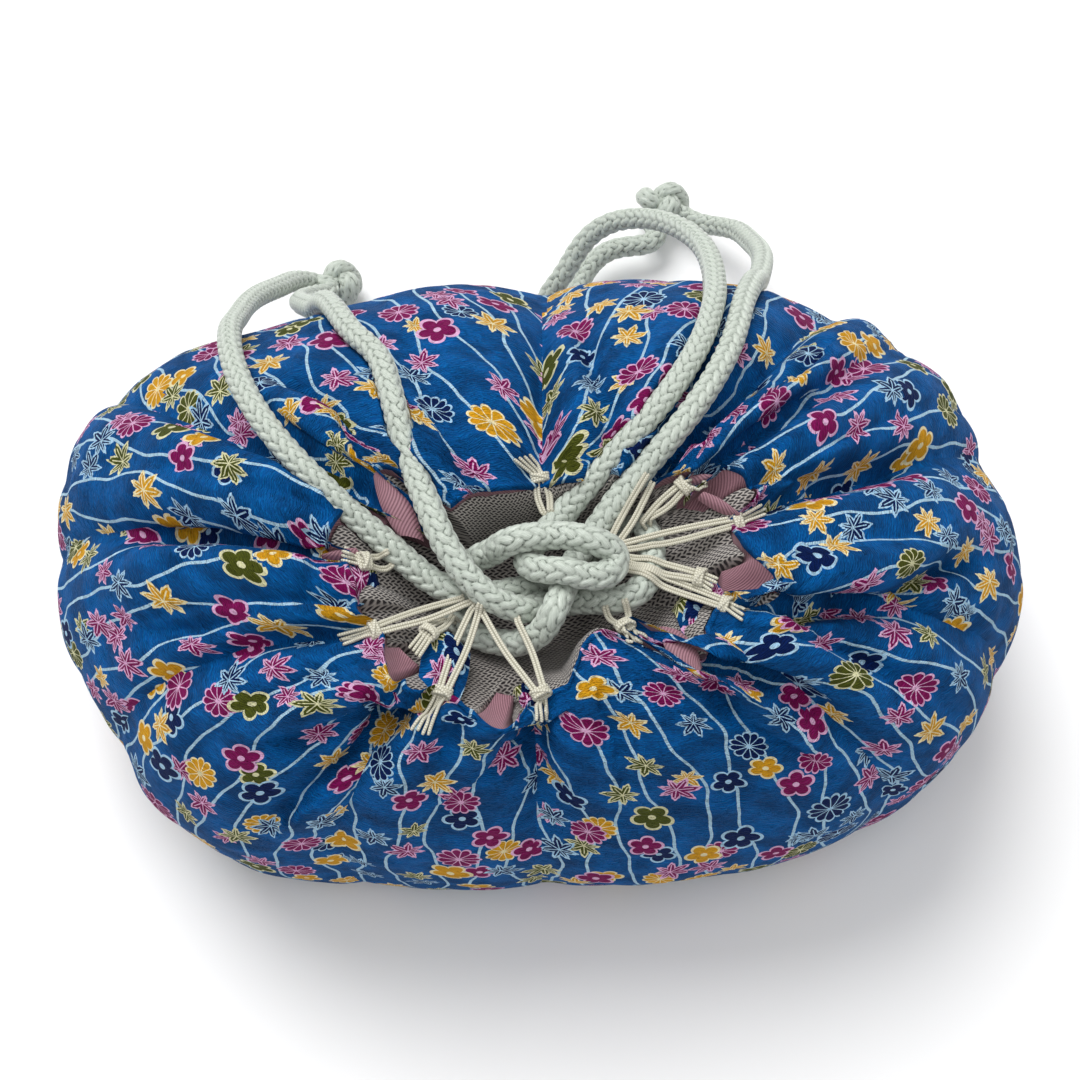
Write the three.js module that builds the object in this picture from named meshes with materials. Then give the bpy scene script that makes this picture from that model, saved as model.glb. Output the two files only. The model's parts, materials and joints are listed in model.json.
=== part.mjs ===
// Kinchaku drawstring pouch: gathered oval cloth bag, drawn shut, with two
// braided drawstrings tangled over the mouth and their end knots on the floor
// behind. Millimetres, +Z up, +Y towards the back. The origin is the middle of
// the bottom of the whole object.
import * as THREE from 'three';

// ---- driving dimensions (mm) ----
const CENTRE = [0.8532, -8.8152, 0.0]; // moves the drawn shape onto the object's origin
const CLOTH = 1.6;          // outer crepe with its seam allowances
const LINING = 1.0;         // dusty pink lining
const GAP = 0.5;            // clearance between layers
const CORD_D = 5.7;         // thick braided drawstring, outside
const KNOT_R = 6.2;        // end knot
const PLATE = 2.4;          // base panel
const POWER = 2.25;       // superellipse power of the plan shape
const RINGS = 72;           // points round the bag
const PLEAT = 1.7;          // depth of the gathers on the shoulder
const GATHERS = [2, 23, 43, 72, 93, 112, 150, 176, 205, 236, 270, 318]; // degrees, one per loop cord

// height, half width, half depth, middle in Y, from the base edge to the hem
const LEVELS = [
  [1.20, 94.00, 62.00, 0.00],
  [5.00, 101.00, 68.00, 0.00],
  [16.00, 112.00, 77.00, 0.00],
  [42.00, 119.00, 83.00, 0.00],
  [64.00, 114.00, 79.00, -2.00],
  [82.00, 98.00, 66.00, -5.00],
  [93.00, 77.00, 50.00, -9.00],
  [96.00, 58.00, 38.00, -13.00],
  [92.00, 43.00, 28.50, -15.00],
];
// how the girth wanders from the plain oval, as cosine and sine terms
const WANDER = [[0.97149, 0.0], [-0.0067, 0.09612], [0.02348, 0.00876], [-0.00646, 0.00074], [-0.01876, -0.0196], [0.00736, 0.00721], [-0.00077, -0.00268], [0.00652, -0.00555], [0.01045, 0.00649]];

// ---- centrelines (before CENTRE is added) ----
const CORD_LEFT = [
  [-64.93, 111.01, 12.38],
  [-67.61, 110.16, 14.56],
  [-70.93, 102.76, 24.23],
  [-73.29, 94.94, 33.90],
  [-75.23, 86.99, 43.56],
  [-76.19, 78.65, 53.04],
  [-76.36, 70.13, 62.40],
  [-76.16, 61.99, 72.09],
  [-75.20, 53.05, 80.99],
  [-72.96, 42.96, 88.27],
  [-69.10, 32.19, 93.68],
  [-63.50, 21.53, 97.55],
  [-56.07, 11.45, 99.24],
  [-50.75, 5.76, 99.08],
  [-41.47, -2.21, 95.92],
  [-31.92, -9.58, 92.06],
  [-28.24, -12.44, 90.65],
  [-24.35, -15.14, 89.53],
  [-20.10, -17.40, 89.92],
  [-15.40, -18.50, 89.75],
  [-10.58, -18.10, 89.34],
  [-5.94, -16.75, 88.77],
  [-1.66, -15.49, 86.94],
  [1.44, -13.49, 83.84],
  [4.34, -11.68, 80.43],
  [8.75, -10.50, 79.05],
  [13.42, -9.34, 79.74],
  [18.09, -8.27, 80.63],
  [22.62, -8.93, 81.87],
  [23.29, -12.94, 83.95],
  [20.26, -16.33, 85.55],
  [16.06, -18.36, 86.90],
  [11.65, -19.53, 88.59],
  [7.28, -20.58, 90.40],
  [2.68, -21.94, 91.25],
  [-1.80, -23.42, 92.43],
  [-6.45, -23.66, 93.76],
  [-10.75, -22.04, 95.27],
  [-14.44, -19.19, 96.66],
  [-17.64, -15.68, 97.71],
  [-20.39, -11.73, 98.43],
  [-22.63, -7.44, 98.92],
  [-24.50, -2.95, 99.13],
  [-26.25, 1.59, 98.92],
  [-28.01, 6.10, 98.38],
  [-29.72, 10.65, 98.07],
  [-31.94, 18.02, 99.11],
  [-35.04, 30.22, 98.29],
  [-37.09, 37.39, 96.07],
  [-43.34, 47.20, 91.20],
  [-48.29, 56.60, 84.37],
  [-51.72, 65.23, 75.75],
  [-55.10, 72.02, 65.60],
  [-57.19, 74.86, 58.65],
  [-60.92, 81.43, 48.53],
  [-63.79, 88.37, 38.35],
  [-65.28, 95.49, 27.99],
  [-64.93, 100.58, 20.89],
  [-62.79, 105.14, 14.99],
  [-61.51, 107.19, 12.85],
];
const CORD_RIGHT = [
  [33.10, 129.74, 7.40],
  [29.75, 126.92, 7.42],
  [22.56, 125.83, 7.99],
  [15.64, 123.63, 7.91],
  [6.54, 116.19, 6.68],
  [3.05, 113.28, 6.65],
  [-1.00, 111.76, 7.90],
  [-3.81, 112.62, 11.18],
  [-2.98, 114.27, 15.22],
  [5.49, 115.68, 23.35],
  [12.44, 117.46, 28.98],
  [18.39, 117.48, 33.18],
  [24.06, 115.72, 37.41],
  [31.38, 110.17, 44.85],
  [36.82, 102.63, 52.20],
  [40.64, 93.95, 59.32],
  [42.28, 84.78, 66.65],
  [42.56, 75.44, 73.97],
  [42.05, 66.15, 81.34],
  [40.57, 56.64, 88.26],
  [37.90, 46.39, 93.59],
  [33.66, 36.04, 97.55],
  [27.67, 25.97, 99.28],
  [23.15, 20.25, 98.90],
  [15.76, 12.77, 95.85],
  [12.66, 9.74, 94.42],
  [9.67, 6.60, 92.98],
  [6.76, 3.40, 91.53],
  [3.78, 0.22, 90.17],
  [0.75, -2.96, 88.91],
  [-1.09, -6.88, 87.90],
  [1.18, -10.09, 89.67],
  [4.71, -12.42, 91.35],
  [8.93, -13.73, 92.33],
  [13.42, -14.01, 92.98],
  [16.08, -11.68, 95.19],
  [13.02, -9.20, 97.01],
  [8.55, -8.45, 97.29],
  [4.00, -8.43, 96.94],
  [-0.50, -8.60, 96.19],
  [-4.89, -8.75, 94.97],
  [-9.20, -9.01, 93.47],
  [-13.21, -9.55, 91.38],
  [-16.56, -10.40, 88.42],
  [-18.83, -12.36, 85.05],
  [-19.72, -16.33, 83.27],
  [-18.72, -20.66, 83.79],
  [-15.20, -23.38, 83.27],
  [-10.86, -24.58, 82.58],
  [-6.32, -24.68, 82.29],
  [-1.87, -23.72, 82.42],
  [2.18, -21.73, 83.01],
  [5.43, -18.74, 84.03],
  [7.34, -14.79, 85.17],
  [8.57, -10.52, 86.11],
  [10.22, -6.60, 87.77],
  [12.25, -2.84, 89.39],
  [14.64, 0.71, 90.98],
  [17.31, 4.06, 92.54],
  [20.18, 7.26, 94.07],
  [23.16, 10.37, 95.60],
  [29.11, 16.68, 98.44],
  [33.58, 22.39, 99.32],
  [39.60, 32.56, 98.05],
  [43.98, 43.00, 94.45],
  [46.85, 53.37, 89.43],
  [49.15, 63.02, 82.89],
  [51.69, 71.51, 74.97],
  [53.98, 78.57, 65.70],
  [55.27, 82.55, 59.77],
  [57.29, 91.11, 51.80],
  [58.43, 99.64, 43.63],
  [58.32, 107.79, 35.01],
  [57.41, 115.77, 26.27],
  [56.03, 123.32, 18.45],
  [53.53, 128.07, 13.55],
  [48.66, 131.74, 9.60],
  [42.82, 135.34, 8.29],
];
// x, y, z, radius along each thin loop cord, from inside the mouth to its tails
const LOOPS = [
  [[0.96, 4.41, 90.89, 1.15], [0.31, 6.03, 93.27, 1.17], [0.08, 6.58, 93.94, 1.37], [-0.18, 7.16, 94.41, 1.96], [-0.85, 8.47, 94.57, 1.46], [-1.26, 9.20, 94.36, 1.18], [-4.86, 13.47, 94.65, 1.15]],
  [[23.19, 1.20, 88.50, 1.15], [26.07, 2.58, 90.91, 1.15], [29.04, 3.94, 93.21, 1.15], [30.58, 4.62, 94.28, 1.22], [32.19, 5.31, 95.14, 2.14], [33.93, 6.04, 95.64, 1.28], [35.75, 6.79, 95.90, 1.15]],
  [[18.60, -6.43, 89.03, 1.15], [22.39, -5.67, 90.08, 1.15], [26.17, -4.92, 91.13, 1.15], [29.98, -4.27, 92.15, 1.15], [33.83, -3.78, 93.13, 1.15], [37.68, -3.31, 94.11, 1.15], [40.56, -2.96, 94.85, 1.16], [41.52, -2.83, 95.10, 1.33], [42.47, -2.69, 95.38, 1.90], [44.35, -2.36, 95.96, 1.51], [45.28, -2.16, 96.28, 1.19], [49.00, -1.31, 97.46, 1.15]],
  [[17.58, -9.04, 88.50, 1.15], [21.05, -10.52, 89.83, 1.15], [24.52, -12.00, 91.16, 1.15], [27.96, -13.50, 92.55, 1.15], [31.36, -15.02, 93.99, 1.15], [33.06, -15.77, 94.64, 1.21], [34.75, -16.45, 94.90, 2.14], [36.41, -17.00, 94.42, 1.28], [38.05, -17.48, 93.48, 1.15]],
  [[35.38, -20.14, 94.04, 1.15], [37.92, -21.52, 94.84, 1.18], [38.76, -21.99, 95.09, 1.45], [39.60, -22.49, 95.31, 2.05], [41.24, -23.56, 95.66, 1.38], [42.04, -24.13, 95.80, 1.17], [44.45, -25.88, 96.16, 1.15]],
  [[16.71, -23.05, 89.97, 1.15], [17.59, -25.60, 92.90, 1.15], [17.82, -26.22, 93.56, 1.17], [18.34, -27.31, 94.34, 2.01], [18.65, -27.72, 94.27, 2.01], [19.01, -28.04, 93.85, 1.42], [20.20, -28.68, 91.48, 1.15], [21.43, -29.23, 88.80, 1.15]],
  [[-9.34, -23.46, 88.50, 1.15], [-7.58, -26.83, 89.75, 1.15], [-5.82, -30.20, 91.00, 1.15], [-4.20, -33.64, 92.20, 1.15], [-2.81, -37.21, 93.35, 1.15], [-1.44, -40.79, 94.50, 1.15], [-1.11, -41.67, 94.81, 1.17], [-0.55, -43.34, 95.58, 1.99], [-0.35, -44.13, 96.08, 2.03], [-0.21, -44.93, 96.66, 1.43], [0.02, -47.80, 98.27, 1.15], [0.19, -50.99, 97.99, 1.15]],
  [[-14.90, -23.82, 89.08, 1.15], [-16.18, -27.43, 90.23, 1.15], [-17.46, -31.04, 91.38, 1.15], [-18.69, -34.67, 92.53, 1.15], [-19.86, -38.28, 93.71, 1.15], [-20.95, -41.48, 95.50, 1.18], [-21.53, -43.00, 96.65, 2.04], [-22.28, -44.86, 97.79, 1.39], [-24.13, -49.90, 97.93, 1.15], [-25.71, -52.93, 95.89, 1.15]],
  [[-21.62, -22.24, 90.18, 1.15], [-25.18, -23.69, 91.30, 1.15], [-28.67, -25.20, 92.52, 1.15], [-32.11, -26.78, 93.82, 1.15], [-34.68, -27.97, 94.80, 1.22], [-35.54, -28.37, 95.11, 1.63], [-36.40, -28.79, 95.40, 2.14], [-38.13, -29.65, 95.93, 1.27], [-38.99, -30.09, 96.17, 1.16], [-43.31, -32.33, 97.34, 1.15]],
  [[-21.46, -25.32, 90.51, 1.15], [-23.17, -27.74, 93.19, 1.15], [-23.62, -28.34, 93.81, 1.18], [-24.57, -29.56, 94.64, 2.06], [-25.08, -30.19, 94.73, 1.96], [-25.62, -30.85, 94.58, 1.37], [-27.92, -33.55, 92.97, 1.15]],
  [[-36.85, -11.88, 92.24, 1.15], [-38.05, -12.24, 93.74, 1.22], [-39.39, -12.34, 94.88, 2.14], [-41.03, -11.99, 95.33, 1.27], [-43.79, -10.99, 95.32, 1.15]],
];
const KNOT_LEFT = [-57.7, 113.3, 6.5];
const KNOT_RIGHT = [34.8, 140.3, 6.5];

// ---- helpers ----
const V = (x, y, z) => new THREE.Vector3(x + CENTRE[0], y + CENTRE[1], z + CENTRE[2]);

function meshFrom(name, verts, tris, color) {
  const g = new THREE.BufferGeometry();
  g.setAttribute('position', new THREE.Float32BufferAttribute(verts.flatMap((v) => [v.x, v.y, v.z]), 3));
  g.setIndex(tris.flat());
  g.computeVertexNormals();
  const m = new THREE.Mesh(g, new THREE.MeshStandardMaterial({ color }));
  m.name = name;
  return m;
}

// rings of points, each the same count, closed with the first ring when loop is true
function skin(rings, loop) {
  const n = rings[0].length;
  const verts = rings.flat();
  const tris = [];
  const last = loop ? rings.length : rings.length - 1;
  for (let r = 0; r < last; r++) {
    const a = r * n, b = ((r + 1) % rings.length) * n;
    for (let i = 0; i < n; i++) {
      const j = (i + 1) % n;
      tris.push([a + i, a + j, b + j], [a + i, b + j, b + i]);
    }
  }
  if (!loop) {
    const cap = (base, flip) => {
      const mid = new THREE.Vector3();
      for (let i = 0; i < n; i++) mid.add(verts[base + i]);
      verts.push(mid.multiplyScalar(1 / n));
      const k = verts.length - 1;
      for (let i = 0; i < n; i++) {
        const j = (i + 1) % n;
        tris.push(flip ? [k, base + j, base + i] : [k, base + i, base + j]);
      }
    };
    cap(0, true);
    cap((rings.length - 1) * n, false);
  }
  return { verts, tris };
}

function level(t) {
  const n = LEVELS.length - 1;
  const u = Math.min(Math.max(t, 0), 1) * n;
  const i = Math.min(Math.floor(u), n - 1), f = u - i;
  const P = (k) => LEVELS[Math.min(Math.max(k, 0), n)];
  return [0, 1, 2, 3].map((c) => {
    const [a, b, d, e] = [P(i - 1)[c], P(i)[c], P(i + 1)[c], P(i + 2)[c]];
    return 0.5 * (2 * b + (-a + d) * f + (2 * a - 5 * b + 4 * d - e) * f * f + (-a + 3 * b - 3 * d + e) * f ** 3);
  });
}

function wander(th) {
  return WANDER.reduce((s, [c, d], k) => s + c * Math.cos(k * th) + d * Math.sin(k * th), 0);
}

// plain bag surface
function skinPoint(th, t) {
  const [z, a, b, yc] = level(t);
  const c = Math.cos(th), s = Math.sin(th);
  const den = (Math.abs(c) ** POWER + Math.abs(s) ** POWER) ** (1 / POWER);
  const fade = t < 0.5 ? 1 : t < 0.8 ? 1 - (0.4 * (t - 0.5)) / 0.3 : 0.6 * (1 - (t - 0.8) / 0.2);
  const k = 1 + (wander(th) - 1) * fade;
  return new THREE.Vector3((a * c) / den * k, yc + ((b * s) / den) * k, z);
}

// point of the bag at th and t, moved inwards by depth, with the gathers
function bag(th, t, depth) {
  const e = 1e-3;
  const p = skinPoint(th, t);
  const du = skinPoint(th + e, t).sub(skinPoint(th - e, t));
  const t0 = Math.max(t - e, 0), t1 = Math.min(t + e, 1);
  const dv = skinPoint(th, t1).sub(skinPoint(th, t0));
  const nrm = du.cross(dv).normalize();
  let valley = 0;
  for (const g of GATHERS) {
    let d = Math.abs(((th * 180) / Math.PI - g + 540) % 360 - 180);
    valley = Math.max(valley, Math.exp(-((d / 6) ** 2)));
  }
  const w = Math.sin(Math.PI * Math.min(Math.max((t - 0.5) / 0.42, 0), 1)) ** 2;
  p.addScaledVector(nrm, -depth - PLEAT * w * valley);
  return V(p.x, p.y, p.z);
}

function ring(t, depth, dz = 0) {
  return Array.from({ length: RINGS }, (_, i) => {
    const p = bag((i / RINGS) * 2 * Math.PI, t, depth);
    p.z += dz;
    return p;
  });
}

// hollow gathered skin, open at the base edge and at the hem
function shell(name, t0, t1, outer, inner, steps, color) {
  const rings = [];
  for (let k = 0; k <= steps; k++) rings.push(ring(t0 + ((t1 - t0) * k) / steps, outer));
  for (let k = steps; k >= 0; k--) rings.push(ring(t0 + ((t1 - t0) * k) / steps, inner));
  const { verts, tris } = skin(rings, true);
  return meshFrom(name, verts, tris, color);
}

// round cord along points, with a radius at each
function tube(name, pts, radii, sides, color) {
  const n = pts.length;
  const rings = [];
  let up = new THREE.Vector3(0, 0, 1);
  for (let k = 0; k < n; k++) {
    const dir = pts[Math.min(k + 1, n - 1)].clone().sub(pts[Math.max(k - 1, 0)]).normalize();
    let side = up.clone().addScaledVector(dir, -up.dot(dir));
    if (side.length() < 1e-3) side = new THREE.Vector3(1, 0, 0).addScaledVector(dir, -dir.x);
    side.normalize();
    up = side.clone();
    const across = dir.clone().cross(side);
    rings.push(Array.from({ length: sides }, (_, i) => {
      const a = (i / sides) * 2 * Math.PI;
      return pts[k].clone().addScaledVector(side, radii[k] * Math.cos(a)).addScaledVector(across, radii[k] * Math.sin(a));
    }));
  }
  const { verts, tris } = skin(rings, false);
  return meshFrom(name, verts, tris, color);
}

// rounded lump with n rings, standing on the floor
function lump(name, c, rx, ry, rz, color) {
  const rings = [];
  const n = 7, sides = 14;
  for (let k = 1; k < n; k++) {
    const a = Math.PI * (k / n) - Math.PI / 2;
    rings.push(Array.from({ length: sides }, (_, i) => {
      const b = (i / sides) * 2 * Math.PI;
      return V(c[0] + rx * Math.cos(a) * Math.cos(b), c[1] + ry * Math.cos(a) * Math.sin(b), c[2] + rz * Math.sin(a));
    }));
  }
  const { verts, tris } = skin(rings, false);
  return meshFrom(name, verts, tris, color);
}

const object = new THREE.Group();

// ---- cloth ----
object.add(shell('outer_shell', 0, 1, 0, CLOTH, 16, 0x0f5fa8));
object.add(shell('lining_pink', 0.04, 0.975, CLOTH + GAP, CLOTH + GAP + LINING, 12, 0xa56e7d));

// woven inner cloth: a soft collar that lines the mouth and leaves a hole in the middle
{
  const rows = [
    [39.0, 24.2, 86.5], [37.9, 22.4, 85.4], [36.4, 20.2, 82.4], [35.6, 19.0, 78.2],
    [36.7, 20.2, 77.6], [37.5, 21.4, 81.4], [38.6, 23.2, 84.2], [39.5, 24.7, 85.2],
  ];
  const n = 48;
  const rings = rows.map(([a, b, z]) => Array.from({ length: n }, (_, i) => {
    const th = (i / n) * 2 * Math.PI;
    return V(a * Math.cos(th), -15 + b * Math.sin(th), z);
  }));
  const { verts, tris } = skin(rings, true);
  object.add(meshFrom('inner_cloth', verts, tris, 0x6f6a66));
}

// ---- base panel: flat oval plate inside the bottom edge ----
{
  const n = RINGS;
  const at = (i, z) => {
    const p = skinPoint((i / n) * 2 * Math.PI, 0);
    const len = Math.hypot(p.x, p.y);
    const k = (len - CLOTH - GAP - 0.6) / len;
    return V(p.x * k, p.y * k, z);
  };
  const rings = [0, PLATE].map((z) => Array.from({ length: n }, (_, i) => at(i, z)));
  const { verts, tris } = skin(rings, false);
  object.add(meshFrom('base_panel', verts, tris, 0x123a66));
}

// ---- drawstrings ----
const cord = (name, P) => object.add(tube(name, P.map((p) => V(...p)), P.map(() => CORD_D / 2), 9, 0xc9d6ca));
cord('drawstring_left', CORD_LEFT);
cord('drawstring_right', CORD_RIGHT);
object.add(lump('end_knot_left', KNOT_LEFT, KNOT_R, KNOT_R, KNOT_R, 0xc9d6ca));
object.add(lump('end_knot_right', KNOT_RIGHT, KNOT_R, KNOT_R, KNOT_R, 0xc9d6ca));

// ---- thin loop cords, each with its knot and tails ----
LOOPS.forEach((L, k) => {
  object.add(tube(`loop_${String(k + 1).padStart(2, '0')}`, L.map(([x, y, z]) => V(x, y, z)), L.map((p) => p[3]), 8, 0xddd6c2));
});

export default object;
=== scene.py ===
import json, math
import bpy
import numpy as np
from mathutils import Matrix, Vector
from mathutils.bvhtree import BVHTree
from mathutils.kdtree import KDTree

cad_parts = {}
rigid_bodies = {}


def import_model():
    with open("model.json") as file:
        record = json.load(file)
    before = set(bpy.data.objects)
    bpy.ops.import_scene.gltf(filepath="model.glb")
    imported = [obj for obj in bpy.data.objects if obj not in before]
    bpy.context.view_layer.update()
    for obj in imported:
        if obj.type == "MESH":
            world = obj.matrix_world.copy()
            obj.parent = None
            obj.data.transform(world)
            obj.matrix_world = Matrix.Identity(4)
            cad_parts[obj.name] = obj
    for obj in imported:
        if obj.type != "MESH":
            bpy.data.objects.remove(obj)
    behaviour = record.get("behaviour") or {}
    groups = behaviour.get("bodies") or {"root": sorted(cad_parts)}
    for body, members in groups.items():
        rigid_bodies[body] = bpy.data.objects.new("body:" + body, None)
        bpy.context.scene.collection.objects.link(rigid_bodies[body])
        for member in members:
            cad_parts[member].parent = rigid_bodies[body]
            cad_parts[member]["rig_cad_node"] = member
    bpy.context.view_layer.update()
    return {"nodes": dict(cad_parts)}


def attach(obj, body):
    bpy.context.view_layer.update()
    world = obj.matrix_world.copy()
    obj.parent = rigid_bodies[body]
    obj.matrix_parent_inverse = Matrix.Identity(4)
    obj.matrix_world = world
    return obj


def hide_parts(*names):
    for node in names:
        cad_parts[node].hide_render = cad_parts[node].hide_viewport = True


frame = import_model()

MM = 0.001
OFF = np.array([0.8532, -8.8152, 0.0])          # the drawn shape's place in the frame, mm
rng = np.random.default_rng(11)

# ------------------------------------------------------------------ camera
EYE = np.array([-0.444, -210.808, 531.315])
cam_d = bpy.data.cameras.new("cam")
cam_d.sensor_width = 36.0
cam_d.lens = 72.0
cam_d.clip_start, cam_d.clip_end = 0.01, 20
cam = bpy.data.objects.new("cam", cam_d)
bpy.context.scene.collection.objects.link(cam)
cam.location = Vector((EYE + OFF) * MM)
cam.rotation_euler = (math.radians(25.0), 0, 0)
bpy.context.scene.camera = cam

# ------------------------------------------------------------------ data, drawn coordinates in mm
LEVELS = np.array([
  [1.20, 94.00, 62.00, 0.00],
  [5.00, 101.00, 68.00, 0.00],
  [16.00, 112.00, 77.00, 0.00],
  [42.00, 119.00, 83.00, 0.00],
  [64.00, 114.00, 79.00, -2.00],
  [82.00, 98.00, 66.00, -5.00],
  [93.00, 77.00, 50.00, -9.00],
  [96.00, 58.00, 38.00, -13.00],
  [92.00, 43.00, 28.50, -15.00],
])
WANDER = np.array([[0.97149, 0.0], [-0.0067, 0.09612], [0.02348, 0.00876], [-0.00646, 0.00074], [-0.01876, -0.0196], [0.00736, 0.00721], [-0.00077, -0.00268], [0.00652, -0.00555], [0.01045, 0.00649]])
POWER = 2.25
CORD_A = np.array([
  [-63.17, 112.68, 8.75],
  [-65.70, 111.69, 11.68],
  [-67.69, 110.05, 14.73],
  [-69.10, 107.93, 17.81],
  [-70.09, 105.55, 20.87],
  [-70.85, 103.04, 23.89],
  [-71.57, 100.53, 26.92],
  [-72.34, 98.07, 29.98],
  [-73.09, 95.61, 33.05],
  [-73.81, 93.15, 36.12],
  [-74.46, 90.65, 39.18],
  [-75.02, 88.12, 42.23],
  [-75.47, 85.54, 45.26],
  [-75.83, 82.92, 48.26],
  [-76.08, 80.27, 51.25],
  [-76.25, 77.59, 54.22],
  [-76.34, 74.89, 57.18],
  [-76.37, 72.20, 60.13],
  [-76.36, 69.50, 63.09],
  [-76.30, 66.84, 66.08],
  [-76.24, 64.29, 69.16],
  [-76.15, 61.81, 72.30],
  [-75.96, 59.13, 75.27],
  [-75.65, 56.30, 78.08],
  [-75.24, 53.34, 80.74],
  [-74.71, 50.27, 83.26],
  [-74.03, 47.11, 85.61],
  [-73.20, 43.83, 87.74],
  [-72.21, 40.47, 89.68],
  [-71.05, 37.07, 91.44],
  [-69.72, 33.65, 93.04],
  [-68.22, 30.24, 94.50],
  [-66.55, 26.85, 95.82],
  [-64.69, 23.50, 96.97],
  [-62.64, 20.19, 97.90],
  [-60.41, 16.94, 98.58],
  [-58.00, 13.78, 99.04],
  [-55.44, 10.72, 99.28],
  [-52.73, 7.76, 99.29],
  [-49.92, 4.95, 98.91],
  [-47.03, 2.31, 98.10],
  [-44.08, -0.17, 97.00],
  [-41.08, -2.51, 95.76],
  [-38.04, -4.81, 94.55],
  [-35.02, -7.13, 93.31],
  [-32.03, -9.49, 92.10],
  [-29.01, -11.85, 90.93],
  [-25.88, -14.13, 89.91],
  [-22.52, -16.23, 89.74],
  [-18.92, -17.75, 90.45],
  [-15.07, -18.50, 89.75],
  [-11.11, -18.19, 89.37],
  [-7.27, -17.17, 88.96],
  [-3.67, -15.95, 87.79],
  [-0.66, -14.85, 85.41],
  [1.85, -13.01, 82.94],
  [4.12, -10.69, 80.63],
  [7.34, -8.50, 79.86],
  [10.70, -6.35, 80.11],
  [13.79, -3.85, 80.58],
  [16.59, -1.11, 81.37],
  [19.41, 1.30, 82.82],
  [22.49, 1.31, 85.14],
  [24.11, -1.65, 87.15],
  [24.64, -5.31, 88.68],
  [24.72, -9.05, 90.08],
  [24.30, -12.84, 91.30],
  [22.93, -16.49, 92.05],
  [20.19, -19.34, 92.01],
  [16.45, -20.32, 91.18],
  [12.69, -19.92, 89.92],
  [9.15, -19.20, 88.22],
  [5.44, -19.07, 86.99],
  [1.96, -20.22, 88.45],
  [-1.23, -21.82, 90.26],
  [-4.49, -22.93, 92.27],
  [-8.04, -22.66, 94.06],
  [-11.53, -21.40, 95.54],
  [-14.55, -19.06, 96.69],
  [-17.20, -16.20, 97.57],
  [-19.55, -13.03, 98.22],
  [-21.57, -9.61, 98.69],
  [-23.26, -6.00, 99.01],
  [-24.75, -2.29, 99.11],
  [-26.19, 1.44, 98.92],
  [-27.64, 5.15, 98.50],
  [-29.07, 8.87, 98.15],
  [-30.39, 12.64, 98.21],
  [-31.52, 16.44, 98.79],
  [-32.52, 20.28, 99.26],
  [-33.51, 24.15, 99.18],
  [-34.49, 28.00, 98.71],
  [-35.44, 31.81, 97.90],
  [-36.44, 35.51, 96.78],
  [-37.80, 39.02, 95.43],
  [-39.71, 42.26, 94.06],
  [-41.88, 45.23, 92.49],
  [-43.94, 48.08, 90.59],
  [-45.72, 51.05, 88.59],
  [-47.20, 54.07, 86.42],
  [-48.45, 57.01, 84.01],
  [-49.58, 59.85, 81.43],
  [-50.65, 62.57, 78.69],
  [-51.69, 65.16, 75.82],
  [-52.74, 67.57, 72.81],
  [-53.81, 69.76, 69.63],
  [-54.88, 71.67, 66.29],
  [-55.96, 73.30, 62.80],
  [-57.04, 74.67, 59.19],
  [-58.19, 76.32, 55.75],
  [-59.41, 78.49, 52.62],
  [-60.57, 80.73, 49.51],
  [-61.64, 82.95, 46.35],
  [-62.59, 85.14, 43.15],
  [-63.43, 87.33, 39.90],
  [-64.15, 89.52, 36.63],
  [-64.71, 91.75, 33.35],
  [-65.12, 94.02, 30.08],
  [-65.32, 96.33, 26.82],
  [-65.26, 98.66, 23.57],
  [-64.83, 100.98, 20.34],
  [-63.96, 103.36, 17.24],
  [-62.34, 105.62, 14.38],
  [-60.56, 107.07, 12.45],
])
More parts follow.
